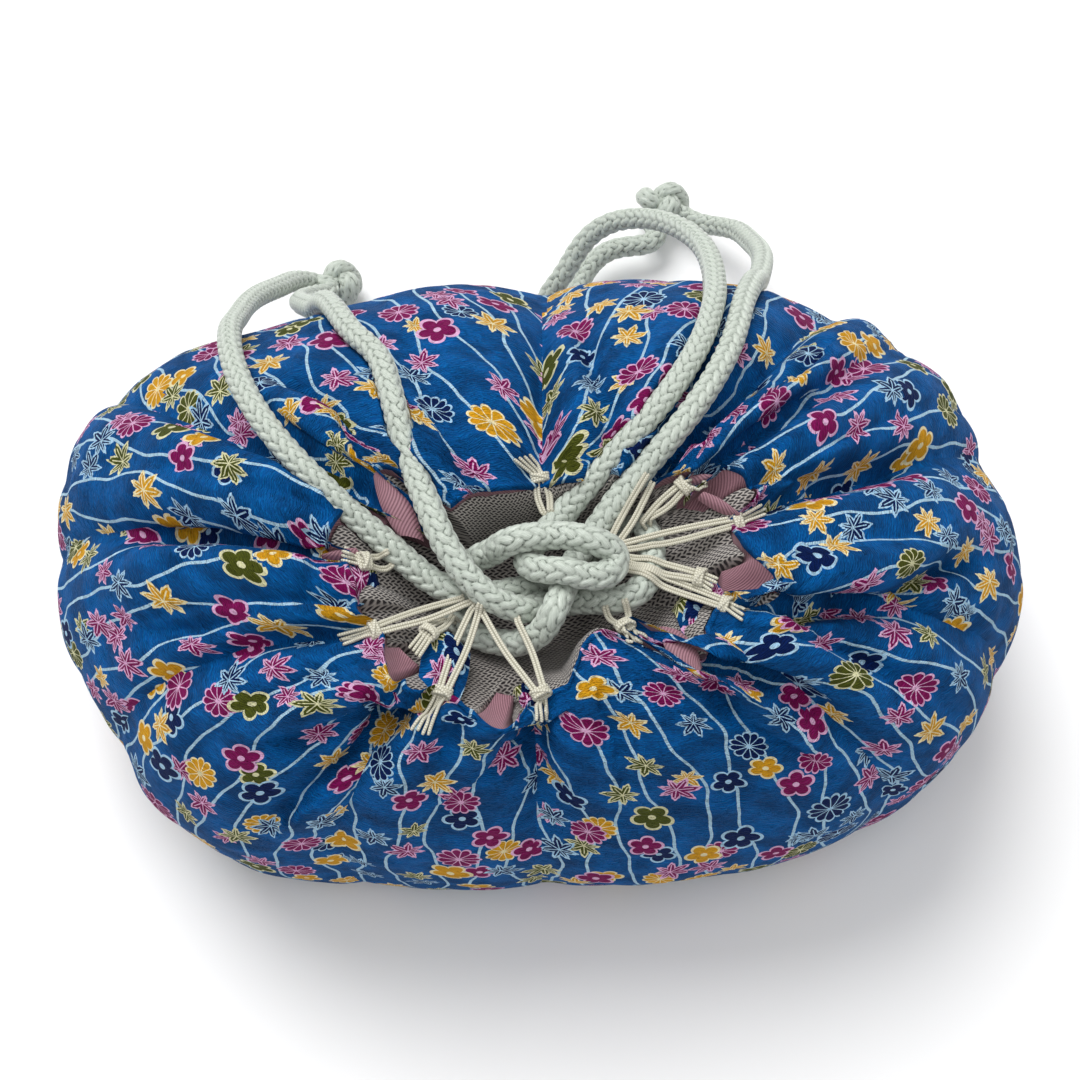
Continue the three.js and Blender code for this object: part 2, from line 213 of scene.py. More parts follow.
CORD_B = np.array([
  [31.75, 133.90, 7.00],
  [33.18, 130.26, 7.40],
  [30.80, 127.26, 7.38],
  [27.01, 126.14, 7.63],
  [23.16, 125.47, 7.96],
  [19.46, 124.21, 8.08],
  [16.14, 121.94, 7.88],
  [13.35, 118.70, 7.50],
  [11.08, 114.62, 7.04],
  [9.13, 110.08, 6.65],
  [6.94, 105.76, 6.64],
  [4.14, 102.80, 7.59],
  [1.60, 102.30, 10.12],
  [1.24, 103.83, 13.68],
  [2.87, 105.60, 16.94],
  [5.04, 107.32, 19.67],
  [7.16, 109.55, 22.27],
  [9.25, 112.12, 24.84],
  [11.55, 114.42, 27.32],
  [14.18, 116.05, 29.69],
  [17.09, 116.83, 31.99],
  [20.13, 116.77, 34.27],
  [23.12, 115.99, 36.59],
  [25.93, 114.66, 38.98],
  [28.48, 112.92, 41.48],
  [30.73, 110.86, 44.04],
  [32.75, 108.55, 46.60],
  [34.61, 106.05, 49.10],
  [36.36, 103.40, 51.53],
  [37.95, 100.60, 53.92],
  [39.31, 97.70, 56.31],
  [40.41, 94.70, 58.72],
  [41.24, 91.64, 61.16],
  [41.83, 88.55, 63.64],
  [42.22, 85.44, 66.12],
  [42.45, 82.31, 68.61],
  [42.56, 79.17, 71.08],
  [42.57, 76.01, 73.54],
  [42.49, 72.83, 75.97],
  [42.32, 69.67, 78.41],
  [42.09, 66.59, 80.96],
  [41.77, 63.51, 83.49],
  [41.31, 60.32, 85.87],
  [40.65, 57.02, 88.03],
  [39.90, 53.62, 90.00],
  [39.03, 50.16, 91.81],
  [37.99, 46.67, 93.47],
  [36.76, 43.17, 94.98],
  [35.35, 39.69, 96.35],
  [33.74, 36.21, 97.50],
  [31.94, 32.75, 98.38],
  [29.93, 29.34, 98.97],
  [27.71, 26.03, 99.28],
  [25.30, 22.83, 99.27],
  [22.75, 19.80, 98.77],
  [20.10, 16.96, 97.81],
  [17.37, 14.30, 96.59],
  [14.62, 11.68, 95.33],
  [11.93, 8.99, 94.07],
  [9.33, 6.23, 92.81],
  [6.77, 3.41, 91.55],
  [4.21, 0.47, 90.79],
  [1.89, -2.72, 91.38],
  [-0.30, -5.84, 92.61],
  [-2.39, -8.84, 94.22],
  [-3.28, -12.48, 95.37],
  [-1.95, -15.18, 97.90],
  [1.13, -16.79, 99.75],
  [4.85, -17.47, 100.92],
  [8.70, -18.24, 100.25],
  [12.62, -18.10, 99.64],
  [15.70, -15.96, 98.53],
  [15.84, -12.36, 99.09],
  [12.79, -10.97, 101.17],
  [8.98, -10.11, 101.94],
  [5.06, -9.40, 101.70],
  [1.11, -9.18, 101.12],
  [-2.85, -9.53, 101.29],
  [-6.62, -10.03, 100.36],
  [-9.08, -9.90, 97.28],
  [-10.71, -9.46, 93.68],
  [-13.65, -9.64, 91.05],
  [-16.54, -10.41, 88.41],
  [-18.61, -12.08, 85.46],
  [-19.66, -15.35, 83.58],
  [-19.90, -19.26, 83.99],
  [-18.38, -22.82, 84.88],
  [-15.77, -25.78, 85.40],
  [-12.33, -27.65, 86.18],
  [-8.58, -28.76, 86.96],
  [-4.98, -29.36, 88.57],
  [-1.81, -29.17, 90.98],
  [0.59, -28.06, 93.96],
  [2.29, -26.02, 96.92],
  [3.69, -22.66, 96.91],
  [4.57, -19.55, 94.62],
  [5.54, -16.07, 92.93],
  [6.43, -13.11, 90.42],
  [7.53, -9.64, 88.85],
  [9.30, -6.09, 88.63],
  [11.75, -3.03, 89.39],
  [14.10, -0.04, 90.64],
  [16.38, 2.94, 92.01],
  [18.84, 5.79, 93.36],
  [21.41, 8.55, 94.71],
  [24.03, 11.26, 96.05],
  [26.66, 13.98, 97.37],
  [29.24, 16.83, 98.46],
  [31.73, 19.88, 99.15],
  [34.08, 23.11, 99.29],
  [36.25, 26.47, 99.09],
  [38.23, 29.91, 98.60],
  [40.01, 33.41, 97.82],
  [41.62, 36.92, 96.77],
  [43.05, 40.43, 95.49],
  [44.30, 43.95, 94.05],
  [45.36, 47.46, 92.46],
  [46.28, 50.95, 90.73],
  [47.08, 54.39, 88.85],
  [47.81, 57.74, 86.79],
  [48.58, 60.95, 84.52],
  [49.43, 64.00, 82.08],
  [50.29, 66.94, 79.50],
  [51.15, 69.76, 76.79],
  [51.98, 72.44, 73.94],
  [52.79, 74.96, 70.94],
  [53.54, 77.27, 67.76],
  [54.24, 79.29, 64.38],
  [54.94, 81.37, 61.05],
  [55.69, 84.11, 58.24],
  [56.41, 87.00, 55.56],
  [57.05, 89.91, 52.89],
  [57.61, 92.82, 50.20],
  [58.05, 95.72, 47.48],
  [58.35, 98.58, 44.69],
  [58.50, 101.39, 41.85],
  [58.51, 104.15, 38.95],
  [58.39, 106.87, 36.02],
  [58.16, 109.56, 33.06],
  [57.86, 112.24, 30.11],
  [57.52, 114.94, 27.17],
  [57.16, 117.67, 24.27],
  [56.71, 120.43, 21.40],
  [56.07, 123.19, 18.58],
  [55.00, 125.89, 15.83],
  [53.26, 128.36, 13.23],
  [50.74, 130.46, 10.94],
  [47.70, 132.27, 9.08],
  [44.47, 134.18, 7.69],
  [42.16, 135.95, 7.00],
])
KNOT_A = np.array([-57.7, 113.3, 6.5])
KNOT_B = np.array([34.8, 140.3, 6.5])
# rim of the mouth: x, y, z, kind (1 where a loop cord pinches it, 0 on a flopped fold)
RIM = np.array([
  [-0.22, 7.60, 95.00, 1.00],
  [7.43, 7.60, 97.00, 0.00],
  [15.33, 9.62, 97.00, 0.00],
  [24.86, 8.10, 95.00, 1.00],
  [28.38, 8.61, 97.00, 0.00],
  [32.24, 5.58, 95.00, 1.00],
  [35.53, 9.11, 98.00, 0.00],
  [41.77, 9.61, 99.00, 0.00],
  [49.16, 4.10, 99.00, 0.00],
  [46.96, 0.60, 97.00, 0.00],
  [43.16, -2.65, 95.50, 1.00],
  [45.55, -9.97, 98.00, 0.00],
  [49.95, -15.97, 100.00, 0.00],
  [54.03, -22.18, 100.00, 0.00],
  [50.21, -24.17, 98.00, 0.00],
  [39.98, -22.61, 95.50, 1.00],
  [37.00, -29.42, 97.00, 0.00],
  [36.62, -36.56, 99.00, 0.00],
  [32.95, -41.80, 100.00, 0.00],
  [26.27, -36.79, 99.00, 0.00],
  [22.36, -32.25, 97.00, 0.00],
  [18.41, -26.96, 94.50, 1.00],
  [13.27, -30.63, 96.50, 0.00],
  [9.52, -34.32, 97.50, 0.00],
  [7.30, -40.09, 98.00, 0.00],
  [5.14, -43.85, 97.00, 0.00],
  [-0.23, -43.96, 95.50, 1.00],
  [-3.01, -48.88, 97.00, 0.00],
  [-8.49, -54.99, 99.50, 0.00],
  [-15.37, -50.16, 98.00, 0.00],
  [-21.78, -44.20, 95.50, 1.00],
  [-26.55, -46.52, 98.00, 0.00],
  [-31.25, -44.62, 99.00, 0.00],
  [-35.02, -37.85, 97.00, 0.00],
  [-36.49, -28.80, 95.50, 1.00],
  [-41.42, -26.07, 98.00, 0.00],
  [-42.10, -19.63, 98.00, 0.00],
  [-39.27, -12.49, 95.00, 1.00],
  [-44.22, -12.19, 97.00, 0.00],
  [-49.39, -11.16, 99.00, 0.00],
  [-47.02, -4.32, 99.00, 0.00],
  [-42.30, 2.11, 100.00, 0.00],
  [-38.06, 8.60, 100.00, 0.00],
  [-33.63, 8.10, 99.00, 0.00],
  [-29.09, 1.59, 97.00, 0.00],
  [-25.48, -4.14, 95.00, 1.00],
  [-21.90, 0.35, 97.00, 0.00],
  [-16.11, 4.09, 98.00, 0.00],
  [-8.08, 5.59, 97.00, 0.00],
])
# thin loops: start of one band, start of the other, knot, end of the tails, shown tails
LOOPS = [
  [[1.81, 0.78, 92.5], [0.23, 0.78, 92.5], [-0.22, 7.35, 95.5], [-4.98, 13.18, 95.5], 1],
  [[15.9, -8.42, 92.0], [14.57, -7.44, 92.0], [24.37, 7.35, 95.5], [24.87, 9.87, 95.5], 0],
  [[24.36, -0.48, 92.0], [22.53, -1.48, 92.0], [32.2, 5.33, 95.5], [36.55, 7.35, 95.5], 1],
  [[16.76, -9.13, 93.0], [15.88, -7.9, 93.0], [43.16, -2.65, 95.5], [49.98, 0.08, 95.5], 1],
  [[17.61, -11.34, 93.0], [16.96, -10.11, 93.0], [34.89, -16.6, 95.5], [38.14, -18.53, 95.5], 1],
  [[17.59, -12.81, 93.0], [16.71, -11.83, 93.0], [39.98, -22.61, 95.5], [44.69, -25.71, 95.5], 1],
  [[13.95, -22.84, 91.0], [18.18, -21.88, 91.0], [18.37, -27.38, 95.5], [21.33, -32.33, 95.5], 1],
  [[-13.17, -24.79, 95.0], [-5.27, -26.96, 94.5], [-0.23, -43.96, 95.5], [-0.02, -50.15, 95.5], 1],
  [[-13.62, -23.83, 95.0], [-15.84, -24.36, 94.0], [-21.78, -44.2, 95.5], [-26.09, -53.1, 95.5], 1],
  [[-15.88, -21.96, 94.0], [-17.47, -20.57, 93.0], [-36.49, -28.8, 95.5], [-44.02, -31.86, 95.5], 1],
  [[-19.7, -24.04, 91.0], [-21.28, -24.58, 90.0], [-24.67, -29.74, 95.5], [-27.83, -34.68, 95.5], 1],
  [[-33.53, -12.39, 91.0], [-34.49, -10.43, 91.0], [-39.23, -12.72, 95.5], [-44.62, -10.77, 95.5], 1],
]

# ------------------------------------------------------------------ mesh helpers
def new_mesh(name, verts, quads, corner_uvs=None, smooth=True):
    """verts in drawn mm; quads n x 4; corner_uvs {name: (n*4) x 2}"""
    me = bpy.data.meshes.new(name)
    v = (np.asarray(verts, float) + OFF) * MM
    q = np.asarray(quads, np.int32)
    me.vertices.add(len(v)); me.vertices.foreach_set("co", v.ravel())
    me.loops.add(q.size); me.loops.foreach_set("vertex_index", q.ravel())
    me.polygons.add(len(q))
    me.polygons.foreach_set("loop_start", np.arange(0, q.size, q.shape[1], dtype=np.int32))
    me.polygons.foreach_set("loop_total", np.full(len(q), q.shape[1], np.int32))
    me.update(calc_edges=True)
    for k, uv in (corner_uvs or {}).items():
        layer = me.uv_layers.new(name=k)
        layer.data.foreach_set("uv", np.asarray(uv, np.float32).ravel())
    me.polygons.foreach_set("use_smooth", np.full(len(q), smooth))
    me.validate()
    ob = bpy.data.objects.new(name, me)
    bpy.context.scene.collection.objects.link(ob)
    return ob


def grid_quads(nu, nv, wrap_u):
    """vertex (i, j) is j * nu + i"""
    i = np.arange(nu if wrap_u else nu - 1); j = np.arange(nv - 1)
    I, J = np.meshgrid(i, j, indexing="xy")
    I, J = I.ravel(), J.ravel()
    I1 = (I + 1) % nu
    return np.stack([J * nu + I, J * nu + I1, (J + 1) * nu + I1, (J + 1) * nu + I], 1), I, J


def catmull(P, step):
    P = np.asarray(P, float)
    d = np.sqrt(np.linalg.norm(np.diff(P, axis=0), axis=1))
    t = np.append(0, np.cumsum(d))
    Q = np.vstack([2 * P[0] - P[1], P, 2 * P[-1] - P[-2]])
    tq = np.concatenate([[t[0] - d[0]], t, [t[-1] + d[-1]]])
    out = []
    for k in range(1, len(Q) - 2):
        n = 24
        u = np.linspace(tq[k], tq[k + 1], n, endpoint=(k == len(Q) - 3))[:, None]
        t0, t1, t2, t3 = tq[k - 1], tq[k], tq[k + 1], tq[k + 2]
        p0, p1, p2, p3 = Q[k - 1], Q[k], Q[k + 1], Q[k + 2]
        a1 = (t1 - u) / (t1 - t0) * p0 + (u - t0) / (t1 - t0) * p1
        a2 = (t2 - u) / (t2 - t1) * p1 + (u - t1) / (t2 - t1) * p2
        a3 = (t3 - u) / (t3 - t2) * p2 + (u - t2) / (t3 - t2) * p3
        b1 = (t2 - u) / (t2 - t0) * a1 + (u - t0) / (t2 - t0) * a2
        b2 = (t3 - u) / (t3 - t1) * a2 + (u - t1) / (t3 - t1) * a3
        out.append((t2 - u) / (t2 - t1) * b1 + (u - t1) / (t2 - t1) * b2)
    C = np.vstack(out)
    s = np.append(0, np.cumsum(np.linalg.norm(np.diff(C, axis=0), axis=1)))
    n = max(int(round(s[-1] / step)) + 1, 4)
    q = np.linspace(0, s[-1], n)
    return np.stack([np.interp(q, s, C[:, k]) for k in range(3)], 1)


def frames(P, up=(0.0, 0.0, 1.0)):
    T = np.gradient(P, axis=0); T /= np.linalg.norm(T, axis=1, keepdims=True) + 1e-12
    N = np.zeros_like(P); n = np.array(up, float)
    for k in range(len(P)):
        n = n - T[k] * (n @ T[k])
        L = np.linalg.norm(n)
        if L < 1e-6:
            n = np.array([1.0, 0, 0]) - T[k] * T[k][0]; L = np.linalg.norm(n)
        n = n / L; N[k] = n
    return T, N, np.cross(T, N)


def smooth01(x, a, b):
    x = np.clip((x - a) / (b - a), 0, 1)
    return x * x * (3 - 2 * x)


# smooth value noise, seeded, on any number of points
_perm = np.random.default_rng(5).random((64, 64, 64))
def noise3(P, scale):
    Q = np.asarray(P) * scale
    i = np.floor(Q).astype(int); f = Q - i; f = f * f * (3 - 2 * f)
    r = 0
    for dx in (0, 1):
        for dy in (0, 1):
            for dz in (0, 1):
                w = (f[..., 0] if dx else 1 - f[..., 0]) * (f[..., 1] if dy else 1 - f[..., 1]) * (f[..., 2] if dz else 1 - f[..., 2])
                r = r + w * _perm[(i[..., 0] + dx) % 64, (i[..., 1] + dy) % 64, (i[..., 2] + dz) % 64]
    return r * 2 - 1

# ------------------------------------------------------------------ node helper: little expression language
class NT:
    def __init__(self, name):
        self.mat = bpy.data.materials.new(name); self.mat.use_nodes = True
        self.nt = self.mat.node_tree
        self.bsdf = next(n for n in self.nt.nodes if n.type == "BSDF_PRINCIPLED")
        self.out = next(n for n in self.nt.nodes if n.type == "OUTPUT_MATERIAL")
    def n(self, t, **kw):
        nd = self.nt.nodes.new(t)
        for k, v in kw.items(): setattr(nd, k, v)
        return nd
    def link(self, a, b): self.nt.links.new(a, b)
    def put(self, sock, v):
        if isinstance(v, E): self.link(v.s, sock)
        elif hasattr(v, "is_output"): self.link(v, sock)
        else: sock.default_value = v
    def math(self, op, a, b=None, c=None, clamp=False):
        nd = self.n("ShaderNodeMath", operation=op); nd.use_clamp = clamp
        self.put(nd.inputs[0], a)
        if b is not None: self.put(nd.inputs[1], b)
        if c is not None: self.put(nd.inputs[2], c)
        return E(self, nd.outputs[0])
    def uv(self, name):
        u = self.n("ShaderNodeUVMap"); u.uv_map = name
        s = self.n("ShaderNodeSeparateXYZ"); self.link(u.outputs[0], s.inputs[0])
        return E(self, s.outputs[0]), E(self, s.outputs[1])
    def vec(self, x, y, z=0.0):
        c = self.n("ShaderNodeCombineXYZ")
        for k, v in enumerate((x, y, z)): self.put(c.inputs[k], v)
        return c.outputs[0]
    def noise(self, vec, scale, detail=2.0, rough=0.5, dist=0.0):
        nd = self.n("ShaderNodeTexNoise"); self.link(vec, nd.inputs["Vector"])
        nd.inputs["Scale"].default_value = scale; nd.inputs["Detail"].default_value = detail
        nd.inputs["Roughness"].default_value = rough; nd.inputs["Distortion"].default_value = dist
        return E(self, nd.outputs[0])
    def ramp(self, fac, stops, mode="LINEAR"):
        nd = self.n("ShaderNodeValToRGB"); self.put(nd.inputs[0], fac); r = nd.color_ramp; r.interpolation = mode
        while len(r.elements) > 1: r.elements.remove(r.elements[-1])
        r.elements[0].position, r.elements[0].color = stops[0][0], (*stops[0][1], 1)
        for p, c in stops[1:]:
            e = r.elements.new(p); e.color = (*c, 1)
        return nd.outputs[0]
    def mix(self, fac, a, b, mode="MIX"):
        nd = self.n("ShaderNodeMix", data_type="RGBA", blend_type=mode)
        self.put(nd.inputs[0], fac)
        for k, v in ((6, a), (7, b)):
            if isinstance(v, tuple): nd.inputs[k].default_value = (*v, 1)
            else: self.put(nd.inputs[k], v)
        return nd.outputs[2]
    def bump(self, h, dist, strength=1.0, normal=None):
        nd = self.n("ShaderNodeBump"); self.put(nd.inputs["Height"], h)
        nd.inputs["Distance"].default_value = dist; nd.inputs["Strength"].default_value = strength
        if normal is not None: self.link(normal, nd.inputs["Normal"])
        return nd.outputs[0]

class E:
    def __init__(self, nt, s): self.nt, self.s = nt, s
    def __add__(a, b): return a.nt.math("ADD", a, b)
    __radd__ = __add__
    def __sub__(a, b): return a.nt.math("SUBTRACT", a, b)
    def __rsub__(a, b): return a.nt.math("SUBTRACT", b, a)
    def __mul__(a, b): return a.nt.math("MULTIPLY", a, b)
    __rmul__ = __mul__
    def __truediv__(a, b): return a.nt.math("DIVIDE", a, b)
    def lt(a, b): return a.nt.math("LESS_THAN", a, b)
    def gt(a, b): return a.nt.math("GREATER_THAN", a, b)
    def abs(a): return a.nt.math("ABSOLUTE", a)
    def sin(a): return a.nt.math("SINE", a)
    def cos(a): return a.nt.math("COSINE", a)
    def pow(a, b): return a.nt.math("POWER", a, b)
    def fract(a): return a.nt.math("FRACT", a)
    def floor(a): return a.nt.math("FLOOR", a)
    def max(a, b): return a.nt.math("MAXIMUM", a, b)
    def min(a, b): return a.nt.math("MINIMUM", a, b)
    def sstep(a, lo, hi):
        nd = a.nt.n("ShaderNodeMapRange", interpolation_type="SMOOTHSTEP"); a.nt.put(nd.inputs[0], a)
        nd.inputs[1].default_value, nd.inputs[2].default_value = lo, hi
        return E(a.nt, nd.outputs[0])

def srgb(r, g, b):
    f = lambda c: (c / 255 / 12.92) if c <= 10.3 else ((c / 255 + 0.055) / 1.055) ** 2.4
    return (f(r), f(g), f(b))

def length_of(P): return float(np.linalg.norm(np.diff(P, axis=0), axis=1).sum())
# where the lining shows at the turned petals: first angle, last angle, how much
PINKS = [[2.436, 2.772, 1.0], [2.973, 3.027, 0.8], [3.417, 3.629, 0.5], [3.793, 4.034, 0.8], [4.442, 4.586, 0.9], [5.45, 5.488, 1.0], [6.074, 0.064, 1.0], [0.587, 0.769, 0.7]]
# tongues of lining turned out over the rim
TONGUES = [
  [[-39.83, 6.85, 99.5], [-32.54, -6.11, 95.5], [-25.21, -7.12, 94.5], [-34.53, 8.1, 99.0], 0.8],
  [[36.16, -38.44, 98.5], [31.0, -29.27, 95.5], [24.53, -27.91, 94.5], [31.49, -42.56, 99.0], 0.8],
  [[44.63, -0.64, 97.5], [36.88, 4.84, 96.0], [34.72, 3.31, 94.0], [43.83, -2.65, 95.5], 0.8],
  [[39.2, 9.12, 97.0], [33.39, 8.61, 96.0], [32.53, 6.84, 94.5], [37.43, 6.84, 95.5], 0.6],
  [[-49.35, -11.89, 99.0], [-41.71, -9.27, 96.5], [-39.98, -11.27, 95.0], [-48.16, -13.16, 97.0], 0.6],
]
# small tucks of shell cloth pulled into the mouth
TUCKS = [
  [[-26.84, -42.7, 94.0], [-25.96, -28.76, 92.0], [-15.8, -32.08, 92.0], [-14.7, -45.01, 94.0], 3.0],
  [[42.65, -19.08, 94.0], [35.26, -12.35, 92.0], [33.81, -18.25, 91.0], [39.51, -26.74, 94.0], 2.6],
  [[32.25, -34.54, 94.0], [28.83, -21.64, 91.0], [35.54, -19.7, 91.0], [38.04, -31.01, 94.0], 2.4],
  [[-42.13, -15.45, 94.0], [-38.02, -9.9, 92.0], [-36.36, -19.65, 92.0], [-40.92, -24.36, 94.0], 2.0],
  [[-3.03, -48.68, 94.0], [-6.53, -41.93, 92.0], [-2.62, -40.07, 92.0], [0.64, -45.01, 94.0], 2.0],
  [[35.61, 3.06, 94.0], [32.14, 3.54, 92.0], [33.67, 9.61, 92.0], [38.53, 9.62, 94.0], 2.0],
]
# folds that run out from the mouth: depth of the crease, how far one side overlaps, the line over the bag
FOLDS = [
  [4.0, 2.6, [[-49.2, -11.7, 96.0], [-54.8, -10.8, 96.0], [-67.3, -7.9, 94.5], [-82.9, -4.3, 89.5], [-99.8, 1.2, 79.5]]],
  [2.0, 1.0, [[-39.5, -24.0, 96.0], [-57.4, -25.7, 95.5], [-77.8, -27.2, 90.5], [-97.8, -23.9, 79.0]]],
  [3.0, -2.0, [[-29.7, -44.4, 96.0], [-39.2, -47.9, 94.5], [-52.3, -51.1, 90.5], [-66.0, -52.6, 84.5]]],
  [4.5, 2.8, [[-27.3, -46.2, 96.0], [-30.5, -48.8, 95.0], [-37.0, -56.5, 91.0], [-43.7, -61.4, 85.5], [-55.5, -67.3, 73.5], [-62.9, -71.3, 61.0]]],
  [3.0, -1.6, [[-5.8, -55.3, 94.0], [-11.2, -61.8, 90.0], [-18.8, -67.7, 84.0], [-26.6, -72.9, 75.5]]],
  [2.4, 1.2, [[-4.7, -55.3, 94.0], [-0.4, -61.8, 90.0], [3.9, -67.8, 84.5], [6.5, -73.4, 77.0]]],
  [3.6, 2.2, [[-38.3, 7.6, 96.0], [-44.8, 16.2, 95.5], [-51.5, 25.8, 93.5], [-62.4, 33.8, 88.5]]],
  [2.2, 0.8, [[-16.2, 4.1, 96.0], [-23.2, 17.3, 96.0], [-31.7, 34.2, 93.5]]],
  [4.6, 1.0, [[15.4, 13.4, 96.0], [13.3, 22.4, 96.0], [11.2, 38.5, 93.0], [8.0, 57.7, 83.5]]],
  [2.6, 1.4, [[24.8, 7.6, 96.0], [28.8, 22.7, 95.5], [34.4, 37.2, 93.0], [40.3, 66.0, 72.0]]],
  [4.0, -2.6, [[34.7, 13.4, 96.0], [41.8, 21.7, 95.0], [50.3, 28.7, 93.0], [60.6, 37.6, 87.5], [73.0, 54.4, 71.5]]],
  [3.4, -1.8, [[45.7, 5.3, 96.0], [58.2, 5.6, 95.0], [66.3, 7.1, 94.0], [79.8, 13.2, 89.0], [93.7, 23.3, 79.5]]],
  [4.8, 2.8, [[53.2, -24.7, 96.0], [58.8, -24.5, 95.5], [65.6, -23.1, 94.5], [79.7, -17.8, 91.0], [90.0, -10.1, 86.0], [104.1, -2.1, 75.0]]],
  [3.0, -1.2, [[48.8, -25.2, 96.0], [56.4, -27.4, 95.5], [67.3, -33.4, 93.0], [78.9, -38.4, 86.5], [87.6, -43.2, 78.0]]],
  [3.2, 1.4, [[35.9, -38.4, 96.0], [37.9, -45.1, 95.5], [45.9, -51.3, 92.5], [56.0, -55.4, 86.5], [67.4, -60.0, 76.5]]],
  [2.0, -0.8, [[10.8, -43.5, 96.0], [14.5, -52.2, 95.0], [16.7, -63.4, 88.0], [17.9, -70.2, 81.5]]],
  [2.6, 1.0, [[-1.3, -50.8, 96.0], [1.3, -61.0, 91.0], [6.5, -69.6, 83.0], [10.5, -74.9, 74.5]]],
]
# ------------------------------------------------------------------ braided drawstrings
CORD_R = 2.95
def braid(name, P, R=CORD_R, cols=8, pitch=3.35, step=0.36, around=42, lump=0.92, taper=True):
    P = catmull(P, step)
    T, N, B = frames(P)
    n, m = len(P), around
    s = np.arange(n) * step
    ph = np.arange(m) / m * 2 * math.pi
    S, PH = np.meshgrid(s, ph, indexing="ij")
    mid = R - 0.35
    cs = 2 * math.pi / cols
    col0 = np.round(PH / cs)
    best = np.full(S.shape, -1.0); second = best.copy(); fx = np.zeros(S.shape); fy = np.zeros(S.shape)
    a, b = 2.85, 1.27
    for dc in (-1, 0, 1):
        c = col0 + dc
        sg = np.where(np.mod(c, 2) < 0.5, 1.0, -1.0)
        shift = np.where(sg > 0, 0.0, 0.5) * pitch
        k0 = np.round((S - shift) / pitch)
        y = (PH - c * cs) * mid
        for dk in (-1, 0, 1):
            x = S - shift - (k0 + dk) * pitch
            ca, sa = math.cos(0.56), math.sin(0.56)
            xr = x * ca + y * sg * sa
            yr = -x * sg * sa + y * ca
            h = 1 - ((xr / a) ** 2 + (yr / b) ** 2) ** 1.15
            h = np.sqrt(np.maximum(h, 0)) - 0.30 * xr / a
            up = h > best
            second = np.where(up, best, np.maximum(second, h))
            best = np.where(up, h, best); fx = np.where(up, xr, fx); fy = np.where(up, yr, fy)
    gap = np.clip((best - second) / 0.36, 0, 1)
    h = np.clip(best, 0, 1.15) - 0.42 * (1 - gap) ** 2.2
    fat = 0.24 * smooth01(P[:, 2], 84, 92) * (((P[:, 0]) / 40) ** 2 + ((P[:, 1] + 15) / 26) ** 2 < 1)
    fat = np.convolve(np.pad(fat, 12, mode="edge"), np.ones(25) / 25, "valid")
    r = R + fat[:, None] - lump + lump * np.clip(h, 0, 1.15) ** 0.9
    if taper:
        e = np.minimum(s, s[-1] - s)
        r = r * np.sqrt(np.clip(e / 1.6, 0.05, 1))[:, None]
    V = P[:, None, :] + r[..., None] * (np.cos(PH)[..., None] * N[:, None, :] + np.sin(PH)[..., None] * B[:, None, :])
    V = V.reshape(-1, 3)
    q, I, J = grid_quads(m, n, True)          # vertex = row * m + i
    q = q[:, ::-1]
    hv, fxv, fyv = gap.ravel(), fx.ravel(), fy.ravel()
    uv1 = np.stack([fxv[q.ravel()], fyv[q.ravel()]], 1)
    # the height map holds how near each point is to the groove between two picks; the cord material paints shade into
    # the grooves with it and keeps its painted highlight on the pick tops
    uv2 = np.stack([hv[q.ravel()], S.ravel()[q.ravel()] * 0.05], 1)
    ob = new_mesh(name, V, q, {"fibre": uv1, "height": uv2})
    return ob, P

def to_knot(P, K):
    """both ends run on into the end knot"""
    out = []
    for end, nxt in ((P[0], P[1]), (P[-1], P[-2])):
        d = K + np.array([0, 0, 0.6]) - end; L_ = np.linalg.norm(d); out.append(end + d * max(0, (L_ - 3.5) / L_))
    return np.vstack([[out[0]], P, [out[1]]])
CORD_A, CORD_B = to_knot(CORD_A, KNOT_A), to_knot(CORD_B, KNOT_B)
cordA, PA = braid("drawstring_left_braid", CORD_A)
cordB, PB = braid("drawstring_right_braid", CORD_B)

def trefoil(name, C, k=1.62, R=2.95, turn=0.4):
    t = np.linspace(0.25, 2 * math.pi * 0.985, 120)
    x = np.sin(t) + 2 * np.sin(2 * t); y = np.cos(t) - 2 * np.cos(2 * t); z = -np.sin(3 * t)
    x, y = x * math.cos(turn) - y * math.sin(turn), x * math.sin(turn) + y * math.cos(turn)
    Q = np.stack([x * k * 1.12, y * k * 0.86, z * k * 1.75], 1) + C
    Q[:, 2] = np.maximum(Q[:, 2], 2.95)
    return braid(name, Q, R=R, step=0.4, around=32, pitch=2.6)[0]

knotA = trefoil("end_knot_left_braid", KNOT_A + np.array([0, 0, 0.6]), turn=0.5)
knotB = trefoil("end_knot_right_braid", KNOT_B + np.array([0, 0, 0.6]), turn=2.0)

# ------------------------------------------------------------------ plain bag surface
def level(t):
    n = len(LEVELS) - 1
    u = np.clip(t, 0, 1) * n
    i = np.minimum(u.astype(int), n - 1); f = (u - i)[..., None]
    g = lambda k: LEVELS[np.clip(k, 0, n)]
    a, b, d, e = g(i - 1), g(i), g(i + 1), g(i + 2)
    return 0.5 * (2 * b + (-a + d) * f + (2 * a - 5 * b + 4 * d - e) * f ** 2 + (-a + 3 * b - 3 * d + e) * f ** 3)

def bag(th, t):
    L = level(t); c, s = np.cos(th), np.sin(th)
    den = (np.abs(c) ** POWER + np.abs(s) ** POWER) ** (1 / POWER)
    w = sum(WANDER[k, 0] * np.cos(k * th) + WANDER[k, 1] * np.sin(k * th) for k in range(len(WANDER)))
    fade = np.interp(t, [0, 0.5, 0.8, 1], [1, 1, 0.6, 0])
    k = 1 + (w - 1) * fade
    return np.stack([L[..., 1] * c / den * k, L[..., 3] + L[..., 2] * s / den * k, L[..., 0]], -1)

def normals_of(S):
    du = np.roll(S, -1, 0) - np.roll(S, 1, 0); dv = np.gradient(S, axis=1)
    N = np.cross(du, dv)
    return N / (np.linalg.norm(N, axis=-1, keepdims=True) + 1e-9)

